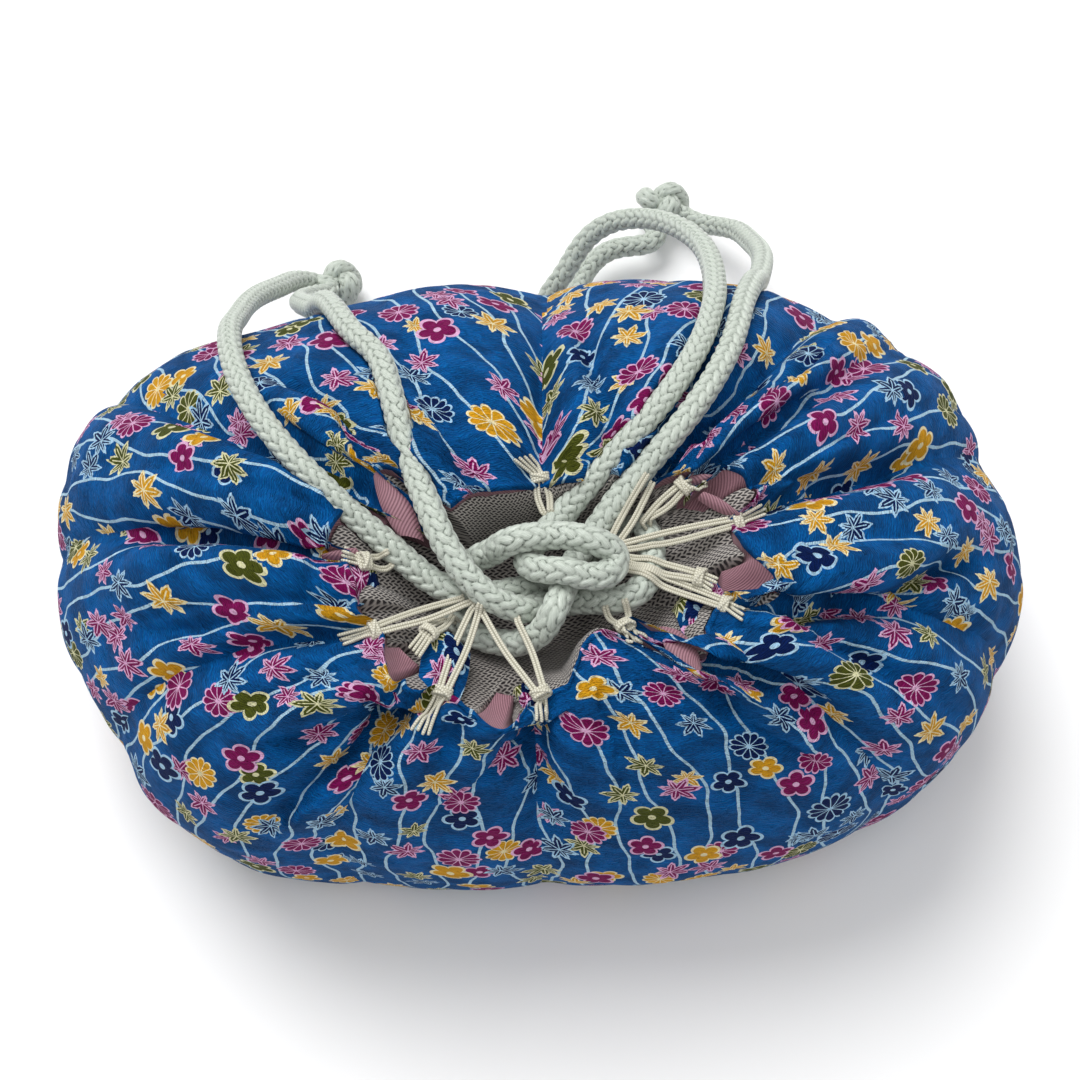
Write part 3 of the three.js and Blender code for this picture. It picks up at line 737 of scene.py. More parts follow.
# rim as ratio to the mouth oval, and height, over the angle
MX, MY = 43.0, 28.5
ra = np.arctan2((RIM[:, 1] + 15) / MY, RIM[:, 0] / MX) % (2 * math.pi)
rr = np.hypot(RIM[:, 0] / MX, (RIM[:, 1] + 15) / MY)
o = np.argsort(ra); ra, rr, rz, rk = ra[o], rr[o], RIM[o, 2], RIM[o, 3]
def periodic(x, xs, ys):
    """monotone cubic through periodic points"""
    xs = np.concatenate([xs[-3:] - 2 * math.pi, xs, xs[:3] + 2 * math.pi]); ys = np.concatenate([ys[-3:], ys, ys[:3]])
    h = np.diff(xs); d = np.diff(ys) / h
    m = np.zeros(len(xs))
    for k in range(1, len(xs) - 1):
        if d[k - 1] * d[k] > 0:
            w1, w2 = 2 * h[k] + h[k - 1], h[k] + 2 * h[k - 1]
            m[k] = (w1 + w2) / (w1 / d[k - 1] + w2 / d[k])
    i = np.clip(np.searchsorted(xs, x) - 1, 0, len(xs) - 2)
    t = (x - xs[i]) / h[i]
    return ((1 + 2 * t) * (1 - t) ** 2 * ys[i] + t * (1 - t) ** 2 * h[i] * m[i] + t * t * (3 - 2 * t) * ys[i + 1] + t * t * (t - 1) * h[i] * m[i + 1])

PIN = ra[rk > 0.5]                       # where the rim is pinched
NU, NV = 540, 166
TH1 = np.arange(NU) / NU * 2 * math.pi
# rows are closer together towards the mouth
tt = np.linspace(0, 1, NV - 5); T1 = tt
TH, T = np.meshgrid(TH1, T1, indexing="ij")
S = bag(TH, T)
NB = normals_of(S)
if ((S - S.mean((0, 1))) * NB).sum(-1).mean() < 0: NB = -NB
rho = periodic(TH1, ra, rr); zr = periodic(TH1, ra, rz)
RIMP = np.stack([MX * rho * np.cos(TH1), -15 + MY * rho * np.sin(TH1), zr], -1)
w = np.clip((T - 0.58) / 0.42, 0, 1) ** 1.7
D = RIMP - S[:, -1]
S = S + D[:, None, :] * w[..., None]

# ring radius for widths in mm
ringlen = np.linalg.norm(np.roll(S, -1, 0) - S, axis=-1)
cum = np.concatenate([np.zeros((1, S.shape[1])), np.cumsum(ringlen, 0)], 0)      # (NU+1, rows)
total = cum[-1]

def meander(k, t):
    r = np.random.default_rng(100 + k)
    a, b, c = r.uniform(-1, 1, 3)
    return 0.075 * (a * np.sin(2.2 * (1 - t) + b * 3) + 0.5 * c * np.sin(5 * (1 - t)) - a * math.sin(b * 3)) * (1 - t)

def puff(centres, seed, wid):
    """0 in the creases, rounded up between them; centres are angles at the rim"""
    c = np.sort(centres)
    P_ = np.zeros(S.shape[:2])
    C = np.stack([c[k] + meander(seed + k, T1) for k in range(len(c))], 0)       # (n, rows)
    C = np.concatenate([C[-1:] - 2 * math.pi, C, C[:1] + 2 * math.pi], 0)
    for j in range(S.shape[1]):
        cj = C[:, j]
        i = np.clip(np.searchsorted(cj, TH1) - 1, 0, len(cj) - 2)
        f = (TH1 - cj[i]) / (cj[i + 1] - cj[i])
        P_[:, j] = np.abs(np.sin(np.clip(f, 0, 1) * math.pi)) ** wid
    return P_, C

main, CM = puff(PIN, 0, 0.55)
minor = []
ps = np.sort(PIN)
for k in range(len(ps)):
    a, b = ps[k], ps[(k + 1) % len(ps)] + (2 * math.pi if k == len(ps) - 1 else 0)
    minor.append(a); minor.append(a + (b - a) * (0.36 + 0.28 * rng.random()))
minor = np.array(minor) % (2 * math.pi)
mino, _ = puff(minor, 40, 0.7)
amp1 = np.interp(T1, [0, 0.12, 0.35, 0.55, 0.75, 0.9, 1.0], [0.0, 1.0, 1.9, 3.8, 7.2, 6.8, 2.4])
amp2 = np.interp(T1, [0, 0.15, 0.4, 0.6, 0.8, 1.0], [0.0, 0.3, 0.7, 1.7, 3.0, 0.8])
lumps = noise3(S, 1 / 38.0) * np.interp(T1, [0, 0.15, 0.6, 0.9, 1], [0, 2.0, 2.2, 1.2, 0.3])[None]
lumps += noise3(S * [1, 1, 1.6] + 90, 1 / 7.0) * np.interp(T1, [0, 0.3, 0.7, 0.95, 1], [0, 0.25, 0.75, 0.7, 0.2])[None]
lumps += noise3(S + 50, 1 / 15.0) * np.interp(T1, [0, 0.15, 0.7, 1], [0, 0.6, 0.9, 0.3])[None]
hgt = (main - 0.80) * amp1[None] + (mino - 0.75) * amp2[None] + lumps
for D_, A_, line in FOLDS:
    Q_ = np.array(line); Q_ = catmull(Q_, 3.0)
    X = S.reshape(-1, 3); Nn = NB.reshape(-1, 3)
    bestd = np.full(len(X), 1e9); side_ = np.zeros(len(X)); along = np.zeros(len(X))
    for k in range(len(Q_) - 1):
        a_, e_ = Q_[k], Q_[k + 1] - Q_[k]; l2 = (e_ @ e_) + 1e-9
        tq = np.clip(((X - a_) @ e_) / l2, 0, 1)
        dv_ = X - a_ - tq[:, None] * e_
        dd = np.linalg.norm(dv_, axis=1)
        up = dd < bestd
        sd_ = np.sign((np.cross(e_, dv_) * Nn).sum(1))
        bestd = np.where(up, dd, bestd); side_ = np.where(up, sd_, side_); along = np.where(up, (k + tq) / (len(Q_) - 1), along)
    endf = smooth01(along, 0.0, 0.06) * (1 - smooth01(along, 0.72, 1.0) * 0.85)
    g_ = -1.5 * D_ * np.exp(-(bestd / 2.8) ** 2)
    g_ += 1.5 * A_ * np.where(side_ > 0, np.exp(-(bestd / 9.0) ** 2) * (1 - np.exp(-(bestd / 2.2) ** 2)), -0.55 * np.exp(-(bestd / 7.0) ** 2))
    hgt = hgt + (g_ * endf).reshape(hgt.shape) * np.clip((bestd.reshape(hgt.shape) < 30) * 1.0, 0, 1)
N1 = normals_of(S)
if ((S - S.mean((0, 1))) * N1).sum(-1).mean() < 0: N1 = -N1
S = S + N1 * hgt[..., None]

# the cloth gives way under the drawstrings
ALLC = np.vstack([PA, PB]); kdc = KDTree(len(ALLC))
for i, p in enumerate(ALLC): kdc.insert(p, i)
kdc.balance()
def under_cords(V, keep, soft=2.2):
    V = V.copy()
    lo, hi = ALLC.min(0) - 8, ALLC.max(0) + 8
    for i in np.where(((V > lo) & (V < hi)).all(1))[0]:
        co, k, d = kdc.find(V[i])
        if d < keep + soft:
            c = np.array(co)
            if d < 1e-6: continue
            e = V[i] - c
            if e[2] > 0: e[2] = -e[2] * 0.6
            L = np.linalg.norm(e); want = keep if d < keep else None
            if want:
                V[i] = c + e / L * keep
    return V
S = under_cords(S.reshape(-1, 3), 3.25).reshape(S.shape)
# ease the dents
def ease(S, times, mask=None):
    for _ in range(times):
        A = 0.25 * (np.roll(S, 1, 0) + np.roll(S, -1, 0))
        B = np.empty_like(S); B[:, 1:-1] = 0.25 * (S[:, 2:] + S[:, :-2]); B[:, 0] = 0.5 * S[:, 0]; B[:, -1] = 0.5 * S[:, -1]
        S = 0.5 * S + 0.5 * (A + B)
    return S
S = ease(S, 1)
S[..., 2] = np.maximum(S[..., 2], 0.6)

# turned hem: five more rows roll over the rim and go down inside
Rm = S[:, -1]; prev = S[:, -2]
out = Rm - np.array([0, -15, 90.0]); out[:, 2] = 0; out /= np.linalg.norm(out, axis=1, keepdims=True)
roll = []
for a in (35, 80, 125, 160, 180):
    a = math.radians(a); r = 0.75
    roll.append(Rm - out * r * (1 - math.cos(a)) * 1.0 + np.array([0, 0, 1.0]) * r * (math.sin(a)) * 0.9 + np.array([0, 0, -0.9]) * max(0, (a - 2.2)))
SH = np.concatenate([S] + [x[:, None] for x in roll], 1)
NVV = SH.shape[1]

# ------------------------------------------------------------------ cloth chart, a strip between each two pinches
ringlen = np.linalg.norm(np.roll(SH, -1, 0) - SH, axis=-1)
cum = np.concatenate([np.zeros((1, NVV)), np.cumsum(ringlen, 0)], 0)
total = cum[-1]
mer = np.concatenate([np.zeros((NU, 1)), np.cumsum(np.linalg.norm(np.diff(SH, axis=1), axis=-1), 1)], 1)
mer = mer.mean(0)[None] * 0.35 + mer * 0.65
GIRTH = 60                                               # a row near the widest ring
ncr = len(ps)
CMx = np.concatenate([CM, np.repeat(CM[:, -1:], NVV - CM.shape[1], 1)], 1)    # (ncr+2, rows)
sec_c = 0.5 * (CMx[:-1] + CMx[1:])                       # centres, ncr+1
def arc(th, j):
    x = (th % (2 * math.pi)) / (2 * math.pi) * NU
    i = np.floor(x).astype(int) % NU; f = x - np.floor(x)
    return cum[i, j] + f * ringlen[i, j]
q, I, J = grid_quads(NU, NVV, True)
# our arrays are [theta, row]; vertex id = row * NU + theta
V = SH.transpose(1, 0, 2).reshape(-1, 3)
thc = (I + 0.5) / NU * 2 * math.pi
sec = np.zeros(len(I), int)
for j in range(NVV - 1):
    sel = J == j
    sec[sel] = np.clip(np.searchsorted(CMx[:, j], thc[sel]) - 1, 0, ncr)
ci = np.stack([I, I + 1, I + 1, I], 1)                   # unwrapped theta index of each corner
cj = np.stack([J, J, J + 1, J + 1], 1)
Ac = cum[ci, cj]
sc = np.zeros(ci.shape); Us = np.zeros(len(I))
cen = np.zeros((ncr + 1, NVV)); Ug = np.zeros(ncr + 1)
for s_ in range(ncr + 1):
    for j in range(NVV):
        cen[s_, j] = arc(np.array([sec_c[s_, j]]), j)[0]
    Ug[s_] = arc(np.array([sec_c[s_, GIRTH]]), GIRTH)[0]
cc = cen[sec[:, None], cj]
dU = Ac - cc
tot = total[cj]
dU = dU - np.round(dU / tot) * tot
U = Ug[sec][:, None] + dU
Vv = mer[ci % NU, cj]
cloth = np.stack([U, Vv], -1)                            # (nf, 4, 2) in mm

# ------------------------------------------------------------------ printed figures: places, kinds and colours
GL = total[GIRTH]; VL = mer.max() + 10
def scatter(cell, seed, share):
    r = np.random.default_rng(seed)
    nu, nv = int(round(GL / cell)), int(round(VL / (cell * 0.86)))
    pts = []
    for b in range(nv):
        for a in range(nu):
            if r.random() > share: continue
            pts.append(((a + 0.5 * (b % 2) + r.uniform(-0.30, 0.30)) * GL / nu, (b + 0.5 + r.uniform(-0.30, 0.30)) * VL / nv,
                        r.choice([0, 0, 0, 1, 1, 1, 1, 1, 2, 2]), r.choice([0, 0, 0, 1, 1, 2, 3, 3]), r.uniform(0, 2 * math.pi), r.uniform(0.85, 1.12)))
    return np.array(pts)

def figures(cell, seed, share, base):
    F = scatter(cell, seed, share)
    ext = np.vstack([F, F + [GL, 0, 0, 0, 0, 0], F - [GL, 0, 0, 0, 0, 0]])
    kd = KDTree(len(ext))
    for i, p in enumerate(ext): kd.insert((p[0], p[1], 0), i)
    kd.balance()
    mid = cloth.mean(1)
    mid[:, 0] = np.where(mid[:, 0] < -GL / 2, mid[:, 0] + GL, mid[:, 0])
    idx = np.array([kd.find((m_[0], m_[1], 0))[1] for m_ in mid])
    G = ext[idx]
    d = cloth - G[:, None, :2]
    c, s = np.cos(G[:, 4])[:, None], np.sin(G[:, 4])[:, None]
    R = (base * G[:, 5])[:, None]
    loc = np.stack([(d[..., 0] * c + d[..., 1] * s) / R, (-d[..., 0] * s + d[..., 1] * c) / R], -1)
    ids = np.stack([np.repeat(G[:, 2:3], 4, 1), np.repeat(G[:, 3:4], 4, 1)], -1)
    return loc.reshape(-1, 2), ids.reshape(-1, 2)

f1, id1 = figures(13.5, 3, 0.88, 4.9)
f2, id2 = figures(16.0, 8, 0.55, 4.4)
base_loops = {"cloth": cloth.reshape(-1, 2), "fig1": f1, "id1": id1, "fig2": f2, "id2": id2}
vs_, qs_, ls_, off_ = [V], [q], {k: [a] for k, a in base_loops.items()}, len(V)
kv = KDTree(len(V))
for i, p in enumerate(V): kv.insert(p, i)
kv.balance()
for kk, (A_, B_, C_, D_, bulge) in enumerate(TUCKS):
    # four corners: outer left, inner left, inner right, outer right, and how far it swells
    A_, B_, C_, D_ = map(np.array, (A_, B_, C_, D_)); m1, m2 = 44, 30
    gu, gv = np.meshgrid(np.linspace(0, 1, m1), np.linspace(0, 1, m2), indexing="ij")
    e = gv ** 1.0
    P_ = (A_ * (1 - gu[..., None]) + D_ * gu[..., None]) * (1 - e[..., None]) + (B_ * (1 - gu[..., None]) + C_ * gu[..., None]) * e[..., None]
    inn = (B_ + C_ - A_ - D_) / 2; acr = (D_ - A_)
    P_ = P_ + (inn * 0.16)[None, None] * (np.sin(gu * math.pi) * gv)[..., None]
    P_[..., 2] += bulge * np.sin(gu * math.pi) ** 0.8 * (0.35 + 0.65 * gv) + 0.6 * np.sin(gu * 9 + gv * 3 + kk) * np.sin(gu * math.pi) - 3.0 * np.clip(gv - 0.86, 0, 1) / 0.14
    P_[..., 2] -= 1.6 * (1 - gv) ** 2
    # the outer edge joins the shell
    dl = np.array([kv.find(p)[0] for p in P_[:, 0]]) - P_[:, 0]
    dl = np.stack([np.convolve(np.pad(dl[:, k], 4, mode="edge"), np.ones(9) / 9, "valid") for k in range(3)], 1)
    P_ = P_ + dl[:, None] * ((1 - gv) ** 2)[..., None]
    wu, hv_ = np.linalg.norm(acr), np.linalg.norm(inn)
    vt = under_cords(P_.reshape(-1, 3), 3.4)
    ii, jj = np.meshgrid(np.arange(m1 - 1), np.arange(m2 - 1), indexing="ij"); ii, jj = ii.ravel(), jj.ravel()
    qq = np.stack([ii * m2 + jj, (ii + 1) * m2 + jj, (ii + 1) * m2 + jj + 1, ii * m2 + jj + 1], 1)
    fn_ = np.cross(vt[qq[:, 1]] - vt[qq[:, 0]], vt[qq[:, 3]] - vt[qq[:, 0]]).sum(0)
    if fn_[2] < 0: qq = qq[:, ::-1]
    tex = np.stack([gu * wu + 31 * kk, gv * hv_ + 9], -1).reshape(-1, 2)[qq.ravel()]
    nf_ = len(qq)
    centres = np.array([[31 * kk + wu * 0.35, 9 + hv_ * 0.30, 1, 0], [31 * kk + wu * 0.72, 9 + hv_ * 0.70, 0, 3], [31 * kk + wu * 0.2, 9 + hv_ * 0.95, 1, 2]])
    cf = tex.reshape(nf_, 4, 2).mean(1)
    near = np.argmin(((cf[:, None] - centres[None, :, :2]) ** 2).sum(-1), 1)
    loc = (tex.reshape(nf_, 4, 2) - centres[near][:, None, :2]) / 4.6
    far = loc + 50.0
    ls_["cloth"].append(tex); ls_["fig1"].append(loc.reshape(-1, 2)); ls_["id1"].append(np.repeat(centres[near][:, 2:], 4, 0)); ls_["fig2"].append(far.reshape(-1, 2)); ls_["id2"].append(np.zeros((nf_ * 4, 2)))
    vs_.append(vt); qs_.append(qq + off_); off_ += len(vt)
shell = new_mesh("outer_shell_crepe", np.vstack(vs_), np.vstack(qs_), {k: np.vstack(a) for k, a in ls_.items()})

# ------------------------------------------------------------------ lining, from the rim down inside
def ring_inner(rho_in, z):
    return np.stack([MX * rho_in * np.cos(TH1), -15 + MY * rho_in * np.sin(TH1), z], -1)
edge = Rm - out * 1.1 + np.array([0, 0, -0.5])
pinky = np.zeros(NU)
for a0, a1, p_ in PINKS:
    d_ = (TH1 - a0) % (2 * math.pi); w_ = (a1 - a0) % (2 * math.pi)
    x_ = np.clip(np.minimum(d_, w_ - d_) / 0.05 + 0.5, 0, 1) * (d_ < w_ + 0.06)
    pinky = np.maximum(pinky, x_ * p_)
rin = (rho - 0.10) * (1 - pinky) + np.minimum(rho - 0.06, 0.93) * pinky
P0 = edge
P3 = ring_inner(rin, np.full(NU, 85.0) + 1.5 * np.sin(TH1 * 5 + 1) + 6.5 * pinky)
rows = []
for v in np.linspace(0, 1, 40):
    m_ = P0 * (1 - v) + P3 * v
    sag = np.sin(v * math.pi) ** 0.8
    flop = np.clip((rho - 1.0) / 0.3, 0, 1)
    m_[:, 2] += (-1.5 * sag - 1.0 * sag * flop) * (1 - 0.8 * pinky) + 0.8 * np.sin(TH1 * 23 + v * 3) * sag * 0.5
    rows.append(m_)
for z, k in ((82, 0.97), (78, 0.95), (72, 0.97), (64, 1.05), (56, 1.15)):
    rows.append(ring_inner(rin * k, np.full(NU, float(z))))
L = np.stack(rows, 0)
LV_ = under_cords(L.reshape(-1, 3), 3.3)
ql, Il, Jl = grid_quads(NU, len(rows), True)
lu = np.concatenate([[0], np.cumsum(np.linalg.norm(np.diff(L, axis=0), axis=-1).mean(1))])
la = cum[:, -6]
uvl = np.stack([la[np.stack([Il, Il + 1, Il + 1, Il], 1)], lu[np.stack([Jl, Jl, Jl + 1, Jl + 1], 1)]], -1)
vl_, qll_, ul_, off_ = [LV_], [ql], [uvl.reshape(-1, 2)], len(LV_)
for kk, (A_, B_, C_, D_, bulge) in enumerate(TONGUES):
    A_, B_, C_, D_ = map(np.array, (A_, B_, C_, D_)); m1, m2 = 22, 40
    gu, gv = np.meshgrid(np.linspace(0, 1, m1), np.linspace(0, 1, m2), indexing="ij")
    P_ = (A_ * (1 - gu[..., None]) + D_ * gu[..., None]) * (1 - gv[..., None]) + (B_ * (1 - gu[..., None]) + C_ * gu[..., None]) * gv[..., None]
    acr = (D_ + C_ - A_ - B_) / 2
    taper_ = 0.22 + 0.78 * np.sin(math.pi * (0.06 + 0.62 * gv)) - 1.0
    P_ = P_ + acr[None, None] * ((gu - 0.5) * taper_)[..., None]
    P_ = P_ + (acr * 0.16)[None, None] * (np.sin(gv * math.pi * 1.3) * (gu - 0.1))[..., None]
    P_[..., 2] += bulge * np.sin(gv * math.pi) * (0.4 + 0.6 * gu) - 1.2 * (np.abs(gu - 0.5) * 2) ** 3
    wu, hv_ = np.linalg.norm(acr), np.linalg.norm((B_ + C_ - A_ - D_) / 2)
    vt = under_cords(P_.reshape(-1, 3), 3.4)
    ii, jj = np.meshgrid(np.arange(m1 - 1), np.arange(m2 - 1), indexing="ij"); ii, jj = ii.ravel(), jj.ravel()
    qq = np.stack([ii * m2 + jj, (ii + 1) * m2 + jj, (ii + 1) * m2 + jj + 1, ii * m2 + jj + 1], 1)
    fn_ = np.cross(vt[qq[:, 1]] - vt[qq[:, 0]], vt[qq[:, 3]] - vt[qq[:, 0]]).sum(0)
    if fn_[2] < 0: qq = qq[:, ::-1]
    ul_.append(np.stack([gu * wu, gv * hv_], -1).reshape(-1, 2)[qq.ravel()]); vl_.append(vt); qll_.append(qq + off_); off_ += len(vt)
lining = new_mesh("lining_twill", np.vstack(vl_), np.vstack(qll_), {"cloth": np.vstack(ul_)})

# ------------------------------------------------------------------ woven inner cloth in the mouth
GU, GV = 420, 110
gth = np.arange(GU) / GU * 2 * math.pi
gr_ = np.interp(gth, TH1, rho, period=2 * math.pi); gp_ = np.interp(gth, TH1, pinky, period=2 * math.pi)
grho_out = (gr_ - 0.045) * (1 - gp_) + np.minimum(gr_ - 0.05, 0.97) * gp_
gr = []
for v in np.linspace(0, 1, GV):
    r_ = 0.10 + (grho_out - 0.10) * v
    x, y = MX * r_ * np.cos(gth), -15 + MY * r_ * np.sin(gth)
    z = 70 + 15.5 * smooth01(r_, 0.15, 0.8)
    z = z * (1 - gp_) + (z - 2.5 * smooth01(r_, 0.86, 1.0)) * gp_
    top_ = np.interp(gth, TH1, zr, period=2 * math.pi) - 2.2
    z = z + (1 - gp_) * (top_ - z) * smooth01(np.full(GU, v), 0.62, 1.0)
    p = np.stack([x, y, z], -1)
    fold = np.abs(np.sin(gth * 4.5 + 0.8 * np.sin(gth * 2) + r_ * 1.5)) ** 0.6
    p[:, 2] += (fold - 0.6) * 3.0 * smooth01(r_, 0.3, 0.8) + noise3(p, 1 / 14.0) * 2.0
    gr.append(p)
G_ = np.stack(gr, 0)
GVv = under_cords(G_.reshape(-1, 3), 3.3)
qg, Ig, Jg = grid_quads(GU, GV, True)
GG = GVv.reshape(GV, GU, 3)
rl = np.concatenate([np.zeros((1, GU)), np.cumsum(np.linalg.norm(np.diff(GG, axis=0), axis=-1), 0)], 0) + 3.5
chart = np.stack([rl * np.cos(np.arctan2(GG[..., 1] + 15, GG[..., 0])), rl * np.sin(np.arctan2(GG[..., 1] + 15, GG[..., 0]))], -1).reshape(-1, 2)
uvg = chart[qg.ravel()]
inner = new_mesh("inner_cloth_woven", GVv, qg, {"cloth": uvg})

# ------------------------------------------------------------------ base panel
bth = np.arange(NU // 2) / (NU // 2) * 2 * math.pi
edge0 = bag(bth, np.zeros(NU // 2))
br = []
for k, z in ((0.965, 2.6), (0.975, 1.4), (0.97, 0.5), (0.955, 0.0), (0.6, 0.0), (0.02, 0.0)):
    p = edge0.copy(); p[:, 0] *= k; p[:, 1] *= k; p[:, 2] = z; br.append(p)
bv = np.stack(br, 0)
qb, Ib, Jb = grid_quads(NU // 2, len(br), True)
base = new_mesh("base_panel_cloth", bv.reshape(-1, 3), qb[:, ::-1], {"cloth": bv.reshape(-1, 3)[qb[:, ::-1].ravel()][:, :2]})

# ------------------------------------------------------------------ thin loop cords
bvh = BVHTree.FromPolygons([tuple(v) for v in V], [tuple(int(a) for a in f) for f in q])
def on_cloth(p, lift):
    d = Vector(p) - Vector(EYE); L = d.length; d.normalize()
    hit, nrm, _, _ = bvh.ray_cast(Vector(EYE), d, L + 60)
    if hit is None: return np.array(p, float)
    if nrm.dot(d) > 0: nrm = -nrm
    return np.array(hit) + np.array(nrm) * lift

def thin_tube(P, r, sides=10, step=0.55, closed=False):
    P = catmull(P, step) if not closed else P
    T_, N_, B_ = frames(P)
    a = np.arange(sides) / sides * 2 * math.pi
    V_ = P[:, None] + r * (np.cos(a)[None, :, None] * N_[:, None] + np.sin(a)[None, :, None] * B_[:, None])
    n = len(P)
    ends = np.array([P[0] - T_[0] * r * 0.5, P[-1] + T_[-1] * r * 0.5])
    V_[0] = P[0] + (V_[0] - P[0]) * 0.7; V_[-1] = P[-1] + (V_[-1] - P[-1]) * 0.7
    q_, i_, j_ = grid_quads(sides, n, True)
    ss = np.arange(n) * step
    uv = np.stack([ss[np.stack([j_, j_, j_ + 1, j_ + 1], 1)], np.stack([i_, i_ + 1, i_ + 1, i_], 1) / sides], -1)
    return V_.reshape(-1, 3), q_[:, ::-1], uv[:, ::-1].reshape(-1, 2)

def join(parts):
    vs, qs, us, o_ = [], [], [], 0
    for v_, q_, u_ in parts:
        vs.append(v_); qs.append(q_ + o_); us.append(u_); o_ += len(v_)
    return np.vstack(vs), np.vstack(qs), np.vstack(us)

def lift_over(P, clear):
    P = P.copy()
    for i in range(len(P)):
        for _ in range(6):
            co, k, d = kdc.find(P[i])
            if d >= clear: break
            P[i][2] += max(0.25, (clear - d) * 0.8)
    return P

TR = 0.40
loop_objs = []
for n_, (b1, b2, kn, tl, shown) in enumerate(LOOPS):
    b1, b2, kn, tl = map(np.array, (b1, b2, kn, tl))
    K = on_cloth(kn, 1.0) if shown else np.array(kn, float)
    parts = []
    axis = K - (b1 + b2) / 2; axis /= np.linalg.norm(axis)
    upv = np.array([0, 0, 1.0]); side = np.cross(upv, axis); side /= np.linalg.norm(side); nrm = np.cross(axis, side)
    if (b1 - b2) @ side < 0: b1, b2 = b2, b1
    for sgn, st in ((1, b1), (-1, b2)):
        m1 = st * 0.55 + K * 0.45 + side * sgn * 0.95; m1[2] += -0.4
        m2 = st * 0.2 + K * 0.8 + side * sgn * 0.9
        C_ = catmull(np.array([st, m1, m2, K + side * sgn * 0.78]), 0.6)
        C_ = lift_over(C_, 3.0 + 0.55) if len(C_) > 3 else C_
        for _ in range(4): C_[1:-1] = 0.5 * C_[1:-1] + 0.25 * (C_[2:] + C_[:-2])
        co, k, d = kdc.find(C_[0])                # in against the drawstring
        if d > 2.5: C_ = np.vstack([np.array(co) + (C_[0] - np.array(co)) * 2.5 / d, C_])
        for off in (-0.40, 0.40):
            parts.append(thin_tube(C_ + side * off, TR))
    if shown:
        # wrapped knot
        a = np.linspace(0, 2 * math.pi * 3.0, 90)
        wv = K + axis * ((a / (6 * math.pi) - 0.5) * 2.0)[:, None] + side * (1.95 * np.cos(a))[:, None] + nrm * (0.95 * np.sin(a))[:, None]
        parts.append(thin_tube(wv, 0.44, step=0.4))
        a = np.linspace(0, 2 * math.pi, 40)
        wv = K + axis * (0.9 * np.cos(a))[:, None] + side * (2.05 * np.cos(a))[:, None] + nrm * (1.25 * np.sin(a))[:, None]
        parts.append(thin_tube(wv, 0.42, step=0.4))
        for f in (-1.5, -0.5, 0.5, 1.5):
            r = np.random.default_rng(200 + n_ * 7 + int(f * 2))
            e = tl + side * f * (0.95 + 0.25 * r.random()) + axis * r.uniform(-0.8, 0.4)
            pts = []
            for u in (0, 0.25, 0.5, 0.75, 1.0):
                p = (K + side * f * 0.8) * (1 - u) + e * u
                pts.append(on_cloth(p, 0.55) if u > 0 else K + side * f * 0.78)
            pts = np.array(pts)
            for k in range(1, 5): pts[k][2] = max(pts[k][2], pts[k - 1][2] - 2.2)
            parts.append(thin_tube(pts, TR))
    v_, q_, u_ = join(parts)
    loop_objs.append(new_mesh(f"loop_cord_{n_ + 1:02d}", v_, q_, {"cloth": u_}))

# ------------------------------------------------------------------ materials
FILL = [srgb(132, 16, 88), srgb(216, 160, 28), srgb(80, 86, 24), srgb(4, 30, 84)]
LINE = [srgb(230, 184, 218), srgb(240, 228, 186), srgb(224, 222, 182), srgb(178, 214, 238)]
def figure_layer(nt, uvn, idn, base_col, vein_scale=1.0):
    x, y = nt.uv(uvn); kind, colr = nt.uv(idn)
    r = nt.math("SQRT", x * x + y * y); ph = nt.math("ARCTAN2", y, x)
    # five round petals
    c5 = (ph * 2.5).cos().abs().pow(0.75)
    R0 = c5 * 0.36 + 0.60
    in0 = r.lt(R0 - 0.13); ed0 = r.lt(R0 + 0.03); dot0 = r.lt(0.17)
    # star leaf with seven tips
    k7 = (ph * (7 / (2 * math.pi))).fract() - 0.5
    tri = 1.0 - k7.abs() * 2.0
    tri = tri.pow(1.0)
    lean = ph.cos() * 0.16 + 0.86
    R1 = (tri * 0.60 + 0.46) * lean + (ph * 28.0).sin() * 0.03
    in1 = r.lt(R1 - 0.13); ed1 = r.lt(R1 + 0.04)
    vein1 = (k7.abs() * r * 0.9).lt(0.028) * r.lt(0.72)
    # many-petalled flower
    c12 = (ph * 5.5).sin().abs()
    R2 = c12.pow(0.6) * 0.26 + 0.74
    in2 = r.lt(R2 - 0.09); ed2 = r.lt(R2 + 0.03)
    gap2 = (c12 * r).lt(0.135)
    dot2 = r.lt(0.10)
    is0 = kind.lt(0.5); is2 = kind.gt(1.5); is1 = (1.0 - is0) * (1.0 - is2)
    inside = is0 * in0 + is1 * in1 + is2 * in2
    edge_ = is0 * ed0 + is1 * ed1 + is2 * ed2
    lines = (is0 * dot0 + is1 * vein1 + is2 * (gap2.max(dot2))).min(1.0)
    fill = nt.ramp(colr / 4.0 + 0.05, [(k / 4, FILL[k]) for k in range(4)], "CONSTANT")
    line = nt.ramp(colr / 4.0 + 0.05, [(k / 4, LINE[k]) for k in range(4)], "CONSTANT")
    body_ = inside * (1.0 - lines)
    col = nt.mix(edge_, base_col, line)
    return nt.mix(body_, col, fill)

